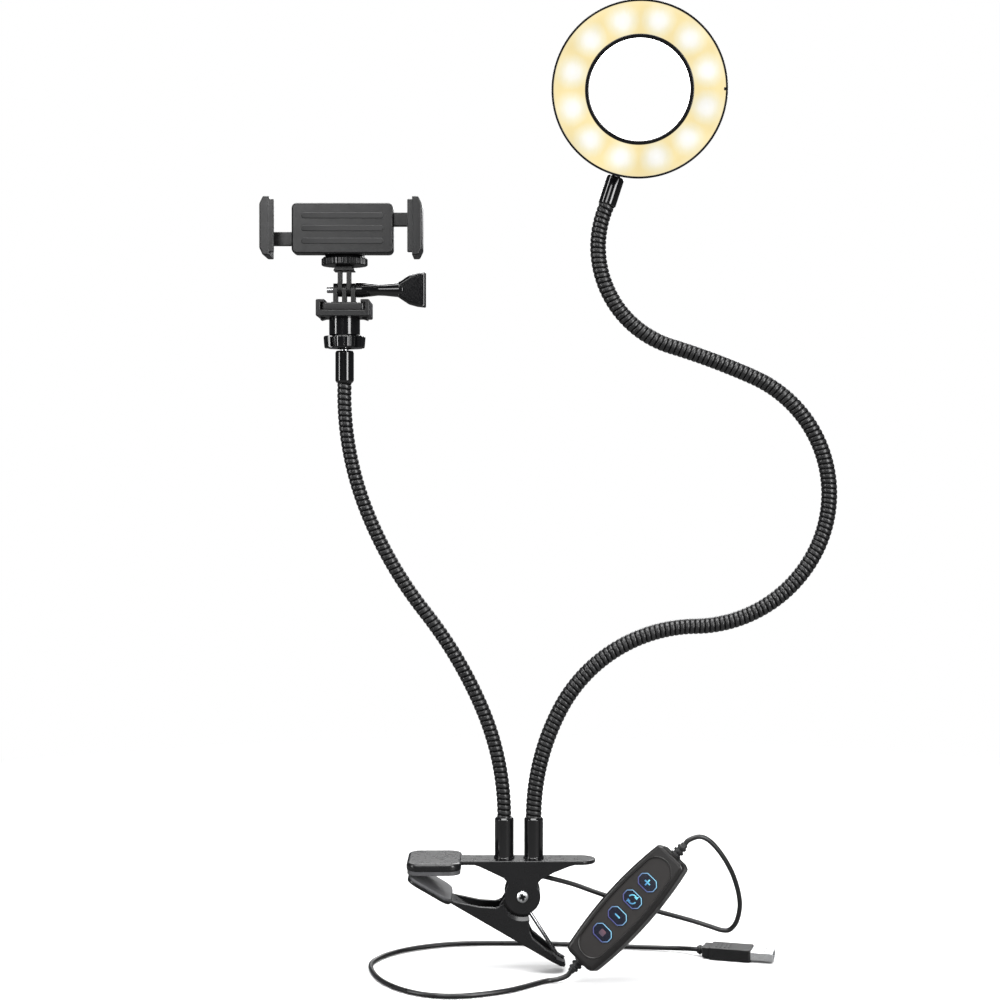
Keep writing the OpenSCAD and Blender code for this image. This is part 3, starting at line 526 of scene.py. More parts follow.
CLAMP = plastic("clamp_plastic", "clamp_satin", (0.005, 0.005, 0.0054), 0.28, grain=0.01, wear=0.1)
GLOSS = plastic("gloss_plastic", "black_gloss", (0.004, 0.004, 0.0044), 0.12, grain=0.03, wear=0.2, coat=0.3)
MATT = plastic("matt_plastic", "black_matte", (0.004, 0.004, 0.0043), 0.3, grain=0.12, wear=0.4)
SHELL = plastic("shell_plastic", "controller", (0.0052, 0.0047, 0.0046), 0.34, grain=0.2, grain_size=0.28,
                wear=0.6)
PANEL = plastic("panel_plastic", "controller", (0.0085, 0.0072, 0.0068), 0.46, grain=0.3, grain_size=0.22,
                wear=0.1)
CAP = plastic("cap_plastic", "button", (0.007, 0.0085, 0.016), 0.2, grain=0.08, wear=0.2)
# The hose's grooves get painted shade from the groove mask
HOSE = rubber("hose_rubber", "hose", (0.012, 0.012, 0.0126), 0.36, sheen=0.05, grain_size=0.4, dust=0.2,
              shaded_grooves=True)
PAD = rubber("pad_rubber", "grip_rubber", (0.07, 0.07, 0.074), 0.55, sheen=0.1, dust=0.5)
SOFT = rubber("cradle_rubber", "cradle_rubber", (0.014, 0.014, 0.0145), 0.66, sheen=0.1, dust=0.4)
CABLE = rubber("cable_sheath", "cable", (0.008, 0.008, 0.0085), 0.34, sheen=0.0, grain_size=0.3, dust=0.2)
STEEL = metal("plated_steel", "steel", (0.82, 0.83, 0.84), 0.34)
WIRE = metal("drawn_wire", "spring_steel", (0.3, 0.3, 0.31), 0.24, brushed=(1, 1, 1))
CORE = metal("core_wire", "core", (0.5, 0.5, 0.51), 0.4)
BRASS = metal("turned_brass", "brass", (0.72, 0.5, 0.2), 0.25)
BOARD = plastic("white_board", "board", (0.7, 0.7, 0.68), 0.35, wear=0.0)
GREEN = plastic("green_board", "green_board", (0.02, 0.12, 0.06), 0.3, wear=0.0)
LED = plastic("phosphor", "led", (0.8, 0.66, 0.2), 0.35, wear=0.0)
WHITE = plastic("white_plastic", "plug_white", (0.75, 0.75, 0.74), 0.35, wear=0.0)
DIFFUSER = lit_plastic("lit_diffuser", "diffuser", AT_RING @ Vector((0, 0, 22)), 12, 34.8 * MM)
OUTLINE = glow("lit_outline", "button", (0.09, 0.07, 0.4, 1), (0.32, 0.82, 1.0, 1), 1.15)
MARK = glow("lit_mark", "button", (0.05, 0.35, 0.75, 1), (0.25, 0.9, 1.0, 1), 1.2)
POWER_MARK = glow("dim_mark", "button", (0.16, 0.03, 0.03, 1), (0.3, 0.06, 0.05, 1), 0.6)

NODE_LOOKS = {
    STEEL: ["pivot_nut", "collar_nuts", "tilt_screw", "ball_stud", "thumb_nut", "tripod_screw"],
    CORE: ["ring_core_base", "ring_core_lower", "ring_core_middle", "ring_core_upper"],
    WIRE: ["cradle_spring"],
    BRASS: ["cradle_insert"],
    BOARD: ["led_board"],
    LED: ["led_chips"],
    GREEN: ["controller_board"],
    WHITE: ["usb_tongue"],
}


def finish_nodes():
    """Gives the CAD nodes that stay in view their materials and softened edges."""
    for material, names in NODE_LOOKS.items():
        for name in names:
            node = frame["nodes"][name]
            node.data.materials.clear()
            node.data.materials.append(material)
            bevel = node.modifiers.new("softened", "BEVEL")
            bevel.width = 0.12 * MM
            bevel.segments = 2
            bevel.limit_method = "ANGLE"
            bevel.angle_limit = math.radians(50)


# ---- clamp

PLATE = (16.2, 18.3)
NOSE = (14.6, 18.8)
JAW = (-59.7, -31.5)
JAW_HALF = 18
CHANNEL = -21.3
COLLARS = {"ring_arm_collar": 5.9, "holder_arm_collar": -9.4}
COLLAR_TOP = 39.65


def upper_clamp():
    plate = [(-34, -8)] + arc(8, -90, 90, 24, (30, 0)) + [(-34, 8)]
    nose = rect(*JAW, JAW_HALF, 6.5, 8)
    cheek = [(-25, 17.2), (-25, 16.3), (-22, 15.3), (-9.5, 9.4), (-7.2, 6.4)]
    lobe = arc(9.3, 147, 392, 40)
    cheek = fillet(cheek, [0, 1, 6, 2.5, 0.5], closed=False) + lobe
    heel = [(8.2, 7.2), (9.6, 8.8), (16, 12.2), (24, 15.4), (27.6, 16.3), (27.6, 17.2)]
    cheek += fillet(heel, 2.5, closed=False)
    cheek_front = upright(cheek, 5.8, 8, 0.45)
    nose_slab = slab(nose, *NOSE, 1.3, top=1.5, steps=5)
    body = fused(slab(plate, *PLATE, 0.6, steps=4), nose_slab, cheek_front, mirrored(cheek_front, Y))
    piece("clamp_upper_arm", body, AT_PIVOT, CLAMP, "clamp_base", "upper_clamp_arm")
    shank = lathe([(0, -10.4), (2, -10.4), (2, 8.3), (0, 8.3)], 40)
    at_head = move(0, 0, 8.1) @ turn(20, Z)
    screw = joined(placed(cross_screw(2.95, 1.45, 1.1, 0.25), at_head), shank)
    piece("pivot_cross_screw", placed(screw, SIDE), AT_PIVOT, STEEL, "clamp_base", "pivot_screw")
    # Painted shade: a black cross of matt plastic in the screw's cross recess, where its shadow falls
    shadow = joined(*cross_bars(1.9, 0.8, 0.2, 1.05))
    piece("pivot_recess_shade", placed(shadow, SIDE @ at_head), AT_PIVOT, MATT, "clamp_base")
    pad = slab(rect(JAW[0] + 0.4, JAW[1] - 0.4, JAW_HALF - 0.5, 6, 8), 12.78, 15, 0.35)
    piece("upper_grip_pad", pad, AT_PIVOT, PAD, "clamp_base", "upper_jaw_pad")
    foot = PLATE[1]
    collar = [(0, foot), (5.35, foot), (5.35, foot + 0.6), (4.95, foot + 1.1), (4.95, COLLAR_TOP - 0.9),
              (4.2, COLLAR_TOP), (0, COLLAR_TOP)]
    collar = lathe(fillet(collar, [0, 0.2, 0.2, 0.3, 0.4, 0.3, 0]), 96)
    for name, x in COLLARS.items():
        piece(name + "_shell", collar, AT_PIVOT @ move(x, 0, 0), GLOSS, "clamp_base", name)


def lower_clamp():
    tail = folded([(-30.6, -9.4), (30, -9.4), (35.2, -7.8), (37.4, -5)])
    floor = slab(fillet(tail, [1, 3, 3, 2, 2, 3, 3, 1]), CHANNEL, CHANNEL + 1.6, 0.5)
    lip = [(-30.4, CHANNEL + 0.2), (-30.4, -20), (-16.5, -15.4), (-9.4, -11.8)] + arc(12, 233, 316, 20)
    lip += [(12.2, -13.6), (15, -15.6), (31, -18.3), (31, CHANNEL + 0.2)]
    wall = upright(fillet(lip, [0.4, 1, 8, 0.6] + [0] * 21 + [1.2, 2.5, 0.6, 0.4]), 6.9, 9.4, 0.4)
    ear = fillet(arc(8.8, -32, 212, 30) + [(-7.8, -9.6), (-5.5, -11.4), (5.5, -11.4), (7.8, -9.6)], 0.5, 2)
    ear = upright(ear, 3.4, 5.6, 0.3)
    ledge = lathe([(10.4, 3.6), (12.9, 3.6), (12.9, 9.3), (12.2, 9.46), (10.5, 7.9)], 40, start=232, swing=85)
    ledge = placed(ledge, SIDE)
    sides = [part for half in (wall, ear, ledge) for part in (half, mirrored(half, Y))]
    body = fused(floor, *sides)
    rim = fillet(folded([(30.5, 8.3), (33.6, 7.4), (36.1, 5.1)]), 2, closed=False)
    rim = [(x, y, CHANNEL + 1.7) for x, y in rim]
    piece("clamp_lower_arm", body, AT_ARM, CLAMP, "lower_clamp", "lower_clamp_arm")
    piece("tray_rim", tube(rim, 0.55, 12), AT_ARM, CLAMP, "lower_clamp")
    shell = slab(rect(-56.4, -30.8, JAW_HALF, 5.5, 8), CHANNEL, CHANNEL + 1.95, 1.1, top=0.3, steps=4)
    piece("clamp_lower_jaw", shell, AT_ARM, CLAMP, "lower_clamp", "lower_jaw_shell")
    pad = slab(rect(-56, -31.6, JAW_HALF - 0.6, 5.2, 8), CHANNEL + 1.6, CHANNEL + 2.97, 0.35)
    piece("lower_grip_pad", pad, AT_ARM, PAD, "lower_clamp", "lower_jaw_pad")


def torsion_spring():
    """Coil and upper leg stay on the plate, the lower leg swings with the lower arm."""
    wire = 0.9
    radius = 4.4
    steps = 72
    winding = arc(radius, 180, 990, steps)
    coil = [(x, 2.4 - 4.8 * k / steps, -z) for k, (x, z) in enumerate(winding)]
    upper_leg = [(-radius - 0.1 + 0.08 * k, 2.4, 14.6 - 1.46 * k) for k in range(10)]
    piece("spring_coil", tube(upper_leg + coil, wire, 16), AT_PIVOT, WIRE, "clamp_base", "clamp_spring")
    start = Vector((0.2, -2.4, -3.6))
    foot = Vector((17.4, -2.4, -30.2))
    leg = [start.lerp(foot, k / 12) for k in range(13)]
    along = turn(CLAMP_ANGLE, Y) @ Vector((1, 0, 0))
    bend = [foot + Vector((0.3, 0, -0.35)), foot + Vector((0.8, 0, -0.68))]
    hook = [bend[-1] + along * d for d in (0.8, 1.8, 2.8, 3.8)]
    piece("spring_leg", tube(leg + bend + hook, 1.0, 16), AT_PIVOT, WIRE, "lower_clamp")


# ---- goosenecks

RING_ARCS = [(58.2, -27.7), (86.9, -61.5), (75.9, 61.4), (108.9, 93.8), (45.3, 7), (90.7, -96)]
HOLDER_ARCS = [(57, 22.7), (59.6, 15.6), (60.9, -16.7), (67.9, -23.7)]
UP = 90
# Radius, pitch of the ribs, depth of the groove
RING_SLEEVE = (4.15, 2.6, 0.22)
HOLDER_SLEEVE = (3.7, 2.8, 0.22)


def route(arcs, x, s):
    """Place and heading [x, z, degrees] at the distance s along an arm."""
    here, heading = np.array([x, COLLAR_TOP]), UP
    if s <= 0:
        return here[0], here[1] + s, heading
    for length, bend in arcs:
        part = min(s, length)
        radius = length / math.radians(bend)
        a, b = math.radians(heading), math.radians(heading + bend * part / length)
        here = here + radius * np.array([math.sin(b) - math.sin(a), math.cos(a) - math.cos(b)])
        heading += bend * part / length
        s -= part
        if s <= 0:
            break
    else:
        here = here + np.array(polar(s, heading))
    return here[0], here[1], heading


def hose(name, arcs, x, start, end, sleeve):
    """A ribbed sleeve from start to end along an arm: a shallow helical groove between rounded ribs."""
    radius, pitch, depth = sleeve
    sides = 48
    steps = int((end - start) / pitch * 11)
    s = np.linspace(start, end, steps + 1)
    centres = [(px, 0, pz) for px, pz, _ in (route(arcs, x, d) for d in s)]
    around = np.arange(sides) / sides
    phase = (s[:, None] / pitch + around[None, :]) % 1
    groove = np.clip((np.cos(2 * np.pi * phase) - 0.35) / 0.65, 0, 1) ** 0.7
    crown = 0.1 * (1 - np.cos(2 * np.pi * (phase - 0.5))) / 2
    skin = tube(centres, radius - depth * groove - crown, sides, (0, 1, 0))
    made = piece(name, skin, AT_PIVOT, HOSE, None, even=False, sharp=60)
    # Groove mask for the rubber material, which paints shade into the grooves from it
    shadow = made.data.attributes.new("groove", "FLOAT", "POINT")
    shadow.data.foreach_set("value", groove.ravel())
    return made


def across(made, arcs, x, station, a, b):
    """Bakes a hose's place into its mesh. It does not bend the hose: the route at station is looked up but
    not used, and bodies a and b are not used.
    """
    px, pz, heading = route(arcs, x, station)
    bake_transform(made)


def ring_arm():
    x = COLLARS["ring_arm_collar"]
    cuts = [-12, 140, 298, 420, 467.5]
    stations = [58.2, 221, 375.2]
    bodies = ["clamp_base", "ring_arm_1", "ring_arm_2", "ring_arm_3"]
    names = {"foot": "base", "rise": "lower", "crown": "middle", "tip": "upper"}
    for k, (name, node) in enumerate(names.items()):
        made = hose(f"ring_hose_{name}", RING_ARCS, x, cuts[k], cuts[k + 1], RING_SLEEVE)
        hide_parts(f"ring_hose_{node}")
        if k < 3:
            across(made, RING_ARCS, x, stations[k], bodies[k], bodies[k + 1])
        else:
            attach(made, bodies[3])


def holder_arm():
    x = COLLARS["holder_arm_collar"]
    first = hose("holder_hose_foot", HOLDER_ARCS, x, -12, 117, HOLDER_SLEEVE)
    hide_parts("holder_hose_base")
    across(first, HOLDER_ARCS, x, 57, "clamp_base", "holder_arm_1")
    second = hose("holder_hose_rise", HOLDER_ARCS, x, 117, 247.5, HOLDER_SLEEVE)
    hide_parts("holder_hose_lower", "holder_hose_upper")
    across(second, HOLDER_ARCS, x, 177.5, "holder_arm_1", "holder_arm_2")


# ---- ring head

FERRULE_BACK = -21.4
BACK = 8.2
FRONT = BACK + 14
RING_R = 44.4
HOLE_R = 25.4
PIN_R = 3.2


def ring_ferrule():
    profile = fillet([(0, 0.4), (4.1, 0.4), (4.65, 1.0), (4.65, 14.9), (4.3, 15.8), (0, 15.8)],
                     [0, 0.2, 0.4, 0.4, 0.3, 0])
    body = placed(lathe(profile, 96), move(0, 0, FERRULE_BACK))
    eye = [(-PIN_R, -6.4), (PIN_R, -6.4)] + arc(PIN_R, 0, 180, 24)
    piece("ring_ferrule_shell", body, AT_KNUCKLE, GLOSS, "ring_arm_3", "ring_ferrule")
    piece("ring_ferrule_eye", placed(slab(eye, -2.1, 2.1, 0.35), PLANK), AT_KNUCKLE, GLOSS, "ring_arm_3")


def cross_bars(arm, width, low, high):
    """Two crossed bars with the given half length and half width, from low to high."""
    return [block((-x, -y, low), (x, y, high), 0.05) for x, y in ((arm, width), (width, arm))]


def cross_screw(radius, height, depth=0.55, share=0.17):
    """A pan head that rises along +Z from 0. Its cross recess has a half width of share times the radius."""
    head = lathe(fillet([(0, 0), (radius, 0), (radius, height * 0.45), (radius * 0.6, height), (0, height)],
                        [0, 0, 0.3, 0.5, 0]), 48)
    return carved(head, *cross_bars(radius * 0.62, radius * share, height - depth, height + 1))


def ring_head():
    wall = 1.1
    rim = 2.1
    outline = [(HOLE_R, BACK + 0.9), (HOLE_R + 0.9, BACK), (RING_R - 2.6, BACK), (RING_R, BACK + 2.6),
               (RING_R, FRONT), (RING_R - wall, FRONT), (RING_R - wall, FRONT - 3), (HOLE_R + rim, FRONT - 3),
               (HOLE_R + rim, FRONT), (HOLE_R, FRONT)]
    body = lathe(fillet(outline, [0.5, 0.5, 1.6, 1.6, 0.25, 0.2, 0.2, 0.2, 0.4, 0.6]), 192)
    piece("ring_housing", body, AT_RING, GLOSS, "ring_head", "ring_rear_housing")
    beads = joined(*[lathe(rect(r, r + 0.6, 0.675, 0.15, 4), 160) for r in (29.5, 39.6)])
    piece("ring_back_beads", placed(beads, move(0, 0, BACK + 0.325)), AT_RING, MATT, "ring_head")
    catch = block((RING_R - 2.1, -0.7, FRONT - 2.4), (RING_R - 0.6, 0.9, FRONT), 0.2)
    piece("ring_rim_catch", catch, AT_RING, GLOSS, "ring_head")
    face = [(HOLE_R + rim, FRONT - 2.6), (RING_R - 1.05, FRONT - 2.6), (RING_R - 1.05, FRONT - 0.7),
            (RING_R - 2.4, FRONT - 0.15), (HOLE_R + 3.6, FRONT - 0.15), (HOLE_R + rim, FRONT - 0.6)]
    face = lathe(fillet(face, [0.1, 0.1, 0.5, 2.5, 2.5, 0.4]), 192)
    piece("ring_face", face, AT_RING, DIFFUSER, "ring_head", "ring_diffuser", even=False)
    lug = [(-BACK - 0.8, -PIN_R), (0, -PIN_R)] + arc(PIN_R, -90, 90, 20) + [(-BACK - 0.8, PIN_R)]
    lugs = [placed(slab(fillet(lug, 0.2, 2), x, x + 2.2, 0.3), PLANK) for x in (-4.4, 2.2)]
    piece("ring_lugs", joined(*lugs), AT_TILTED, GLOSS, "ring_head")
    screw = placed(cross_screw(1.8, 0.9), move((HOLE_R + RING_R) / 2, 0, BACK + 0.2) @ turn(180, X))
    screws = [placed(screw, turn(angle, Z)) for angle in (30, 120, 210, 300)]
    piece("ring_back_screws", joined(*screws), AT_RING, STEEL, "ring_head", "ring_housing_screws")


# ---- ball head, buckle and knuckle

FERRULE = (265.4, 282)
NUT = (283.3, 289.6)
LOBES = 5
SOCKET = (289.7, 299.1)
BASE = (299.1, 302.3)
BASE_HALF = 13.8
RAIL_TOP = 307.9
BUCKLE = (302.35, 305.95)
BOLT_Z = 313.65
PRONG_R = 3.6
PITCH = 4.6
DISC = (326.1, 330.6)
DISC_R = 12


def holder_head():
    low, high = FERRULE
    ferrule = [(0, low), (4.1, low), (4.8, low + 1.1), (4.8, high - 0.9), (4.2, high), (0, high)]
    ferrule = lathe(fillet(ferrule, [0, 0.2, 0.5, 0.4, 0.3, 0]), 96)
    piece("holder_ferrule_shell", ferrule, AT_HEAD, GLOSS, "holder_arm_2", "holder_ferrule")
    sides = 240
    gap = 360 / LOBES
    nut = []
    for level, share in ((0, 0.93), (0.35, 0.955), (0.9, 0.965), (5.3, 1.0), (6.0, 0.992), (6.3, 0.965)):
        ring = []
        for k in range(sides):
            angle = 360 * k / sides
            off = abs((angle + 90 + gap / 2) % gap - gap / 2)
            swell = min(1.0, max(0.0, (30 - off) / 7))
            swell = swell * swell * (3 - 2 * swell)
            pleat = 0.22 * swell * (0.5 - 0.5 * math.cos(math.radians(off) * 30))
            r = (8.5 + 2.4 * swell - pleat) * share
            ring.append((*polar(r, angle), NUT[0] + level))
        nut.append(ring)
    piece("lock_nut_lobed", loft(nut), AT_HEAD, GLOSS, "nut", "lock_nut", sharp=40)
    dome = [(r, NUT[0] + z) for r, z in ((0, -0.7), (2.6, -0.6), (4.9, -0.1), (5.4, 0.5), (0, 0.5))]
    piece("lock_nut_dome", lathe(fillet(dome, [0, 1, 1, 0.2, 0]), 64), AT_HEAD, MATT, "nut")
    barrel = fillet([(0, SOCKET[0]), (7.4, SOCKET[0]), (8, SOCKET[0] + 0.6), (8, SOCKET[1] + 0.4),
                     (0, SOCKET[1] + 0.4)], [0, 0.2, 0.3, 0, 0])
    half = [(BASE_HALF, BASE[0]), (BASE_HALF, RAIL_TOP), (9.2, RAIL_TOP), (9.2, 306.1), (11.4, 306.1),
            (11.4, BASE[1])]
    channel = [(-BASE_HALF, BASE[0])] + half + [(-x, z) for x, z in half[:0:-1]]
    corners = [0.8, 0.8, 0.9, 0.5] + [0.3] * 6 + [0.5, 0.9]
    base = upright(fillet(channel, corners), -13, 13, 0.4)
    piece("socket_barrel", lathe(barrel, 96), AT_HEAD, GLOSS, "socket", "socket_base")
    piece("socket_base_plate", base, AT_HEAD, MATT, "socket")
    tab = [(9.4, 298.5), (12.2, 297.7), (12.2, 299.3), (9.4, 299.3)]
    tab = upright(fillet(tab, 0.2, 2), -4, 4, 0.2)
    piece("socket_clip_tabs", joined(tab, mirrored(tab, X)), AT_HEAD, MATT, "socket")


def prong(z0, x, thick):
    """A prong that runs from the height z0 to a round end at the bolt, centred on x."""
    up = 1 if z0 < BOLT_Z else -1
    outline = [(-PRONG_R * up, z0), (PRONG_R * up, z0)]
    outline += arc(PRONG_R, 90 - 90 * up, 270 - 90 * up, 24, (0, BOLT_Z))
    return placed(slab(outline, x - thick / 2, x + thick / 2, 0.25), PLANK)


def buckle():
    plate = block((-11.2, -12.4, BUCKLE[0]), (11.2, 12.4, BUCKLE[1]), 0.4, 1.6)
    foot = [(-7.4, 305.5), (7.4, 305.5), (6.6, 307.1), (-6.6, 307.1)]
    foot = upright(fillet(foot, 0.4, 2), -5, 5, 0.3)
    prongs = [prong(BUCKLE[1] - 0.3, k * PITCH, 2.2) for k in (-1, 0, 1)]
    body = fused(plate, foot, *prongs)
    ridges = [block((-10.6 + 1.1 * k, -12.0, BUCKLE[1] - 0.2), (-10.1 + 1.1 * k, -6, BUCKLE[1] + 0.35), 0.12)
              for k in range(20)]
    piece("buckle_prongs", body, AT_HEAD, MATT, "buckle", "quick_buckle")
    piece("buckle_ridges", joined(*ridges), AT_HEAD, MATT, "buckle")


def thumb_screw():
    start = PITCH + 1.1 + 0.2
    at = AT_HEAD @ move(0, 0, BOLT_Z)
    shank = [(0, 0), (3.95, 0), (3.95, 3.4), (3.5, 7), (2.95, 11.5), (3.05, 15), (3.55, 20), (3.8, 22.6),
             (3.3, 25), (0, 25)]
    shank = lathe(fillet(shank, [0, 0.4, 3, 6, 8, 8, 6, 1.5, 1, 0]), 72)
    shank = placed(shank, PLANK @ move(0, 0, start))
    tip = lathe(fillet([(0, -9.2), (1.3, -9.2), (1.62, -8.8), (1.62, start + 1), (0, start + 1)],
                       [0, 0.15, 0.15, 0, 0]), 48)
    paddle = folded([(start + d, -w) for d, w in ((21.6, 3.5), (27.6, 7.5), (32, 8.7), (36.4, 9.2))])
    paddle = upright(fillet(paddle, [1, 4, 4, 0.6, 0.6, 4, 4, 1]), -2.9, 2.9, 1.5, steps=4)
    piece("thumb_screw_shank", shank, at, GLOSS, "clamp_bolt", "thumb_screw")
    piece("thumb_screw_tip", placed(tip, PLANK), at, STEEL, "clamp_bolt")
    piece("thumb_screw_paddle", paddle, at, GLOSS, "clamp_bolt")


def adapter():
    foot = [(-5.65, 323.2), (5.65, 323.2), (4.1, 326), (-4.1, 326)]
    foot = upright(fillet(foot, 0.3, 2), -5, 5, 0.3)
    prongs = [prong(323.6, side * PITCH / 2, 2.1) for side in (-1, 1)]
    piece("adapter_prongs", fused(foot, *prongs), AT_HEAD, MATT, "adapter", "prong_adapter")
    profile = [(3.3, DISC[0]), (DISC_R - 0.5, DISC[0]), (DISC_R, DISC[0] + 0.5), (DISC_R, DISC[1] - 1.1),
               (DISC_R - 1.2, DISC[1]), (3.3, DISC[1])]
    disc = lathe(fillet(profile, [0.2, 0.2, 0.2, 0.2, 0.3, 0.2], 3), 288, flutes=(36, 0.75, 11.2))
    piece("lock_disc_fluted", disc, AT_HEAD, MATT, "disc", "lock_disc")


# ---- phone cradle

CRADLE_Z = 344
AT_CRADLE = move(0, 0, CRADLE_Z) @ SIDE
CRADLE_HALF = 26
CRADLE_TALL = 13
CRADLE_Y = (-14.5, -4.5)
JAW_IN = 36.2
JAW_OUT = 41.2
BAR_Z = 5


def cradle():
    low = CRADLE_Z - CRADLE_TALL
    flat = rect(-CRADLE_HALF, CRADLE_HALF, CRADLE_TALL, 2.6, 6)
    box = placed(slab(flat, -CRADLE_Y[1], -CRADLE_Y[0], 0.8, steps=4), AT_CRADLE)
    foot = block((-10, -6, low - 0.2), (10, 8, low + 9.8), 0.7, 2)
    slots = []
    for side in (-1, 1):
        x = side * (CRADLE_HALF - 0.5)
        z = CRADLE_Z + side * BAR_Z
        slots.append(block((x - 2.5, -11.15, z - 3.65), (x + 2.5, -6.85, z + 3.65), 0.1))
    bore = lathe([(0, low - 3), (4.45, low - 3), (4.45, low + 7), (0, low + 7)], 48)
    body = carved(fused(box, foot), bore, *slots)
    piece("cradle_body", body, AT_HEAD, MATT, "cradle", "cradle_housing")
    cover = placed(slab(rect(-23.8, 23.8, 10.8, 1.5, 5), 4.35, 4.7, 0.15), AT_CRADLE)
    piece("cradle_cover_plate", cover, AT_HEAD, MATT, "cradle", "cradle_back_cover")
    strip = slab(rect(-21, 21, 1.5, 1.4, 6), 14.3, 14.95, 0.3)
    strips = [placed(strip, move(0, 0, 6.5 * k) @ AT_CRADLE) for k in (-1, 0, 1)]
    piece("cradle_grip_strips", joined(*strips), AT_HEAD, SOFT, "cradle")


def cradle_jaw(name, side):
    h = 15
    up = CRADLE_Z + side * BAR_Z
    shell = folded([(JAW_IN, -h), (JAW_OUT - 1.8, -h), (JAW_OUT, -h + 3.8)])
    shell = slab(fillet(shell, [0.5, 1.2, 2.5, 2.5, 1.2, 0.5]), 4.5, 25, 0.7, steps=4)
    shell = placed(shell, AT_CRADLE)
    lip = block((JAW_IN - 2.4, -24.9, CRADLE_Z - h + 1.5), (JAW_IN + 1, -23.4, CRADLE_Z + h - 1.5), 0.5)
    bar = block((-23.9, -11, up - 3.5), (JAW_IN + 1, -7, up + 3.5), 0.4)
    body = fused(shell, lip)
    pad = block((JAW_IN - 1.35, -23.2, CRADLE_Z - 12.5), (JAW_IN + 0.3, -15, CRADLE_Z + 12.5), 0.3)
    levels = [CRADLE_Z + 2.1 * k for k in range(-5, 6)]
    ribs = [block((JAW_IN - 1.4, -23, z - 0.4), (JAW_IN - 1, -15.2, z + 0.4), 0.15) for z in levels]
    pad = joined(pad, *ribs)
    if side < 0:
        body, bar, pad = (mirrored(part, X) for part in (body, bar, pad))
    piece(f"{name}_shell", body, AT_HEAD, MATT, name, f"cradle_{name}")
    piece(f"{name}_bar", bar, AT_HEAD, MATT, name)
    piece(f"{name}_pad", pad, AT_HEAD, SOFT, name, f"cradle_pad_{name[4:]}")


# ---- controller

CTL_HALF = 35.8
CTL_W = 12
CTL_FRONT = 7
BUTTON_PITCH = 11.3
BUTTON = (3.8, 5.4)
BUTTON_CUT = 2.2


def controller_outline():
    """Long sides that bulge and four rounded corners."""
    bow = 3.2
    end = CTL_W - bow
    radius = (CTL_HALF ** 2 + bow ** 2) / (2 * bow)
    swing = math.degrees(math.asin((CTL_HALF - 1) / radius))
    side = arc(radius, 270 - swing, 270 + swing, 16, (0, radius - CTL_W))
    half = [(-CTL_HALF, -end + 2.5)] + side + [(CTL_HALF, -end + 2.5)]
    radii = [3, 4.5] + [0] * 15 + [4.5, 3]
    return fillet(folded(half), radii * 2, 5)


def octagon(grow):
    """A button's outline, grown by a margin on every side."""
    x, y = (half + grow for half in BUTTON)
    cut = BUTTON_CUT
    return fillet(folded([(-x, -y + cut), (-x + cut, -y), (x - cut, -y), (x, -y + cut)]), 1.1, 4)


def frame_strip(outline, width, low, high):
    """A closed band of the given width that follows an outline, from low to high."""
    outer = anticlockwise(outline)
    inner = inset(outer, width)
    count = len(outer)
    verts = [(*p, z) for run, z in ((outer, low), (outer, high), (inner, high), (inner, low)) for p in run]
    faces = []
    for k in range(4):
        a = k * count
        b = (k + 1) % 4 * count
        faces += [[a + i, a + (i + 1) % count, b + (i + 1) % count, b + i] for i in range(count)]
    return verts, faces


def arrow_mark():
    """Two arrows that chase each other round a circle."""
    parts = []
    for offset in (0, 180):
        band = arc(2.5, 20, 135, 14) + arc(1.85, 135, 20, 14)
        head = [(0.92, 0.95), (2.17, -0.5), (3.42, 0.95)]
        spin = turn(offset - 45, Z)
        parts += [placed(slab(flat, 0, 0.12, 0), spin) for flat in (band, head)]
    return joined(*parts)


def bar_mark(length, width, angle=0):
    bar = slab(rect(-length / 2, length / 2, width / 2, width * 0.3, 3), 0, 0.12, 0)
    return placed(bar, turn(angle, Z))


def controller():
    outline = controller_outline()
    front = CTL_FRONT
    shell = slab(outline, 0.12, front, 0.15, top=2.1, steps=5)
    dish = arc(7.6, 100, 260, 20, (-23.6, 0)) + [(-12, -8.8), (0, -9.2), (12, -8.8)]
    dish += [(-x, -y) for x, y in dish]
    dish = fillet(dish, ([0] * 21 + [14] * 3) * 2, 6)
    places = [(k - 1.5) * BUTTON_PITCH for k in range(4)]
    opening = slab(octagon(0.12), front - 2.4, front + 1.5, 0)
    openings = [placed(opening, move(x, 0, 0)) for x in places]
    shell = carved(shell, slab(dish, front - 0.5, front + 2, 0), *openings)
    piece("controller_front_shell", shell, AT_FACE, SHELL, "clamp_base", "controller_front")
    back = slab(outline, -front, -0.12, 2.1, top=0.15, steps=5)
    piece("controller_back_shell", back, AT_FACE, SHELL, "clamp_base", "controller_back")
    seam = slab(inset(outline, 0.5), -0.3, 0.3, 0)
    piece("controller_seam", seam, AT_FACE, CAP, "clamp_base")
    border = [(x, y, front - 0.05) for x, y in inset(dish, -0.15)]
    border = tube(border + border[:2], 0.42, 10)
    piece("controller_panel_border", border, AT_FACE, SHELL, "clamp_base")
    floor = carved(slab(inset(dish, 0.1), front - 1.2, front - 0.42, 0), *openings)
    piece("controller_panel", floor, AT_FACE, PANEL, "clamp_base")
    plus = joined(bar_mark(3.6, 0.75), bar_mark(3.6, 0.75, 90))
    marks = {"power": slab(rect(-1.5, 1.5, 1.5, 0.5, 4), 0, 0.12, 0), "dim": bar_mark(3.4, 0.75, 90),
             "mode": arrow_mark(), "bright": plus}
    cap = slab(octagon(0), front - 1.1, front - 0.02, 0.25, steps=2)
    line = frame_strip(octagon(-0.12), 0.42, front - 0.3, front + 0.1)
    for x, (name, mark) in zip(places, marks.items()):
        at = AT_FACE @ move(x, 0, 0)
        piece(f"{name}_cap", cap, at, CAP, name, f"{name}_button")
        piece(f"{name}_outline", line, at, OUTLINE, name, even=False)
        ink = POWER_MARK if name == "power" else MARK
        piece(f"{name}_mark", mark, at @ move(0, 0, front - 0.06), ink, name, even=False)


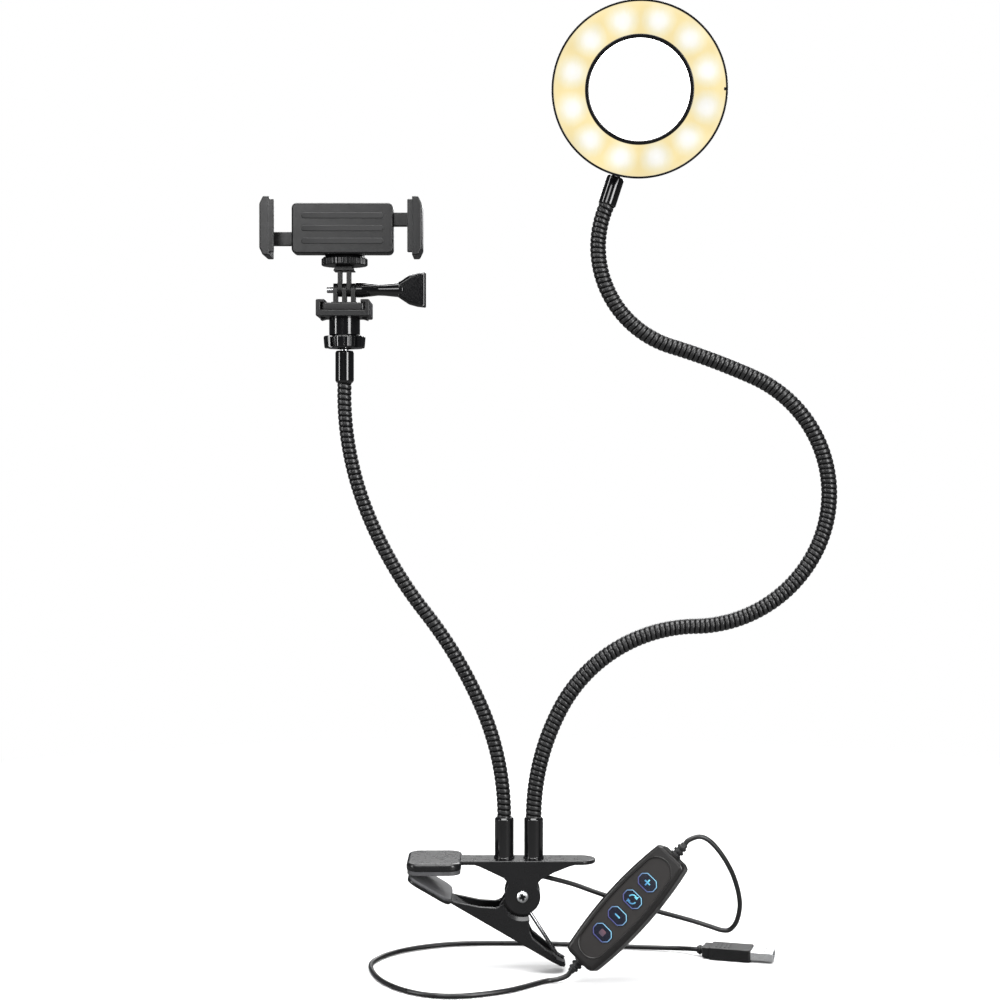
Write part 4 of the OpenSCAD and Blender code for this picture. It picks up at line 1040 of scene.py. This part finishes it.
def strain_reliefs():
    profile = [(1.0, 0), (3, 0), (3, 1.4), (2.1, 1.6), (2.1, 2.4), (2.8, 2.6), (2.8, 3.8), (1.95, 4),
               (1.95, 4.8), (2.5, 5), (2.5, 6.2), (1.85, 6.4), (1.7, 8), (1.0, 8)]
    boot = lathe(fillet(profile, 0.22, 3), 32)
    boots = [placed(boot, turn(90 * side, Y) @ move(0, 0, CTL_HALF - 0.4)) for side in (-1, 1)]
    piece("lead_boots_ribbed", joined(*boots), AT_CTL, CABLE, "clamp_base", "lead_boots")


# ---- leads and plug

LEAD_R = 1.25
FLOOR_Z = -39.6
USB_HALF = 13


def smooth(points, steps):
    """A Catmull-Rom run through points."""
    p = [Vector(point) for point in points]
    out = []
    for i in range(len(p) - 1):
        a, b, c, d = p[max(0, i - 1)], p[i], p[i + 1], p[min(len(p) - 1, i + 2)]
        for k in range(steps):
            t = k / steps
            out.append(0.5 * (2 * b + (c - a) * t + (2 * a - 5 * b + 4 * c - d) * t * t
                              + (3 * b - a - 3 * c + d) * t ** 3))
    return out + [p[-1]]


def on_axis(at, places):
    """Points on the X axis of a local frame, in the pivot's frame."""
    return [AT_PIVOT.inverted() @ at @ Vector((x, 0, 0)) for x in places]


def leads():
    x = COLLARS["ring_arm_collar"]
    lamp = [(x, 0, 18.6), (x, 0, 12.2), (7.3, 0, 9.6), (12, -0.5, 8.6), (26, -3, 5.5), (40, -5, 1),
            (60, -6.5, -5.1), (84.3, -8, -11.4), (95, -8.3, -14.6), (102.7, -8.5, -17), (107, -9, -16.4),
            (110.3, -10.5, -11.3), (111.3, -13.5, -1.3), (108.1, -17.5, 11.4), (102.6, -20.5, 22.4),
            (95.8, -22.5, 31), (90, -23.6, 34.2)]
    lamp += on_axis(AT_CTL, [CTL_HALF + d for d in (10.5, 7, 3, -1)])
    rest = FLOOR_Z + LEAD_R + 0.05
    front = [(10.3, -26.6), (-7.8, -42.5), (-29.2, -51.4), (-47, -50), (-62, -39), (-73.5, -20.5)]
    round_back = [polar(1, a) for a in np.linspace(-180, -262, 5)]
    loop = front + [(-20 + 59 * x, 2.5 + 44.5 * y) for x, y in round_back] + [(8, 46.5), (36, 43)]
    usb = on_axis(AT_CTL, [-CTL_HALF - d for d in (-1, 3, 7, 10.5)]) + [(17, -24.7, rest + 0.4)]
    usb += [(x, y, rest) for x, y in loop] + [(64, 38, rest + 0.2), (84, 33, rest + 0.9)]
    usb += on_axis(AT_USB, [-USB_HALF - d for d in (6, 2, -1)])
    for name, run in (("lamp_lead", lamp), ("usb_lead", usb)):
        skin = tube(smooth(run, 14), LEAD_R, 20)
        piece(name + "_run", skin, AT_PIVOT, CABLE, "clamp_base", name, even=False)


def usb_plug():
    body = slab(rect(-USB_HALF + 4, USB_HALF, 7, 1.2, 5), -3.2, 3.2, 0.5)
    step = slab(rect(-USB_HALF, -USB_HALF + 5, 5.7, 1, 5), -2.7, 2.7, 0.5)
    neck = [(1.1, -3.4), (2.0, -3.4), (2.1, -2.6), (2.5, -2.4), (2.5, -1.4), (2.1, -1.2), (2.1, -0.4),
            (2.6, -0.2), (2.6, 1), (1.1, 1)]
    neck = placed(lathe(fillet(neck, 0.2, 3), 32), PLANK @ move(0, 0, -USB_HALF))
    ridges = [slab(rect(-6 + 2.2 * k, -5 + 2.2 * k, 5, 0.45, 3), 3.0, 3.42, 0.15) for k in range(4)]
    piece("usb_grip_shell", fused(body, step), AT_USB, MATT, "clamp_base", "usb_grip")
    piece("usb_grip_neck", neck, AT_USB, CABLE, "clamp_base")
    piece("usb_grip_ridges", joined(*ridges), AT_USB, MATT, "clamp_base")
    outer = placed(slab(rect(-6, 6, 2.25, 0.5, 3), USB_HALF - 1, USB_HALF + 11.5, 0.12), PLANK)
    bore = placed(slab(rect(-5.7, 5.7, 1.95, 0.35, 3), USB_HALF - 0.5, USB_HALF + 13, 0), PLANK)
    holes = [block((USB_HALF + 5, y - 1.25, -3), (USB_HALF + 7.6, y + 1.25, 3), 0.15) for y in (-2.9, 2.9)]
    piece("usb_metal_shell", carved(outer, bore, *holes), AT_USB, STEEL, "clamp_base", "usb_shell")


# ---- stage

BACKDROP = (1, 1, 1, 1)
MIDDLE = Vector((0.04, 0, 0.19))


def pale_floor():
    """A round floor that fades into the backdrop away from the object."""
    floor_z = (PIVOT.z + FLOOR_Z * MM) - 0.0002
    bpy.ops.mesh.primitive_circle_add(vertices=96, radius=4, fill_type="NGON", location=(0.04, 0, floor_z))
    floor = bpy.context.object
    floor.name = "floor"
    look = Look("pale_floor", "floor")
    flat = look.add("VectorMath", {0: look.place}, operation="LENGTH").outputs["Value"]
    far = look.spread(flat, 0.0, 1.0, 0.25, 0.8)
    tint = look.mix(look.noise(6, 2.0), (0.9, 0.9, 0.9, 1), (0.93, 0.93, 0.93, 1))
    look.set(roughness=0.75, specular_ior_level=0.2)
    seen = look.add("LightPath").outputs["Is Camera Ray"]
    plain = look.add("Emission", {"Color": BACKDROP, "Strength": look.spread(seen, 0.1, 1.0)})
    look.set(base_color=look.mix(seen, (0.16, 0.16, 0.16, 1), tint))
    blend = look.add("MixShader", {0: far, 1: look.shader.outputs[0], 2: plain.outputs[0]})
    output = look.tree.nodes["Material Output"]
    look.tree.links.new(blend.outputs[0], output.inputs["Surface"])
    floor.data.materials.append(look.material)


def studio_world():
    """Dim cool light from all round, and the plain backdrop where the camera looks past the floor."""
    world = bpy.data.worlds.new("studio")
    world.use_nodes = True
    bpy.context.scene.world = world
    nodes, links = world.node_tree.nodes, world.node_tree.links
    seen = nodes.new("ShaderNodeLightPath").outputs["Is Camera Ray"]
    soft = nodes["Background"]
    soft.inputs["Color"].default_value = (0.9, 0.93, 1.0, 1)
    soft.inputs["Strength"].default_value = 0.07
    shown = nodes.new("ShaderNodeBackground")
    shown.inputs["Color"].default_value = BACKDROP
    chosen = nodes.new("ShaderNodeMixShader")
    links.new(seen, chosen.inputs[0])
    links.new(soft.outputs[0], chosen.inputs[1])
    links.new(shown.outputs[0], chosen.inputs[2])
    links.new(chosen.outputs[0], nodes["World Output"].inputs["Surface"])


def softbox(name, place, size, watts):
    """A rectangular light that faces the middle of the object."""
    light = linked(name, bpy.data.lights.new(name, "AREA"))
    light.data.shape = "RECTANGLE"
    light.data.size, light.data.size_y = size
    light.data.energy = watts
    light.location = place
    light.rotation_euler = (MIDDLE - Vector(place)).to_track_quat("-Z", "Y").to_euler()


def studio_lights():
    softbox("left_strip", (-0.95, -0.42, 0.35), (0.16, 1.3), 9)
    softbox("right_strip", (0.78, -0.95, 0.35), (0.4, 1.3), 22)
    softbox("top_box", (0.0, -0.25, 1.35), (1.1, 0.9), 30)
    softbox("front_fill", (-0.35, -1.5, 0.75), (0.5, 0.5), 6)
    softbox("back_box", (0.3, 1.2, 0.9), (1.2, 0.8), 18)


def camera():
    """At the height and distance from which the object is seen in use: level, with the frame shifted down."""
    height, distance, centre_x, centre_z, width = 0.2116, 0.95, 0.034, 0.1917, 0.52
    cam = linked("camera", bpy.data.cameras.new("camera"))
    cam.location = (centre_x, -distance, height)
    cam.rotation_euler = (math.radians(90), 0, 0)
    cam.data.lens = cam.data.sensor_width * distance / width
    cam.data.shift_y = (centre_z - height) / width
    bpy.context.scene.camera = cam


finish_nodes()
upper_clamp()
lower_clamp()
torsion_spring()
ring_arm()
holder_arm()
ring_ferrule()
ring_head()
holder_head()
buckle()
thumb_screw()
adapter()
cradle()
cradle_jaw("jaw_left", -1)
cradle_jaw("jaw_right", 1)
controller()
strain_reliefs()
leads()
usb_plug()
pale_floor()
studio_world()
studio_lights()
camera()
bpy.context.scene.view_settings.view_transform = "Standard"
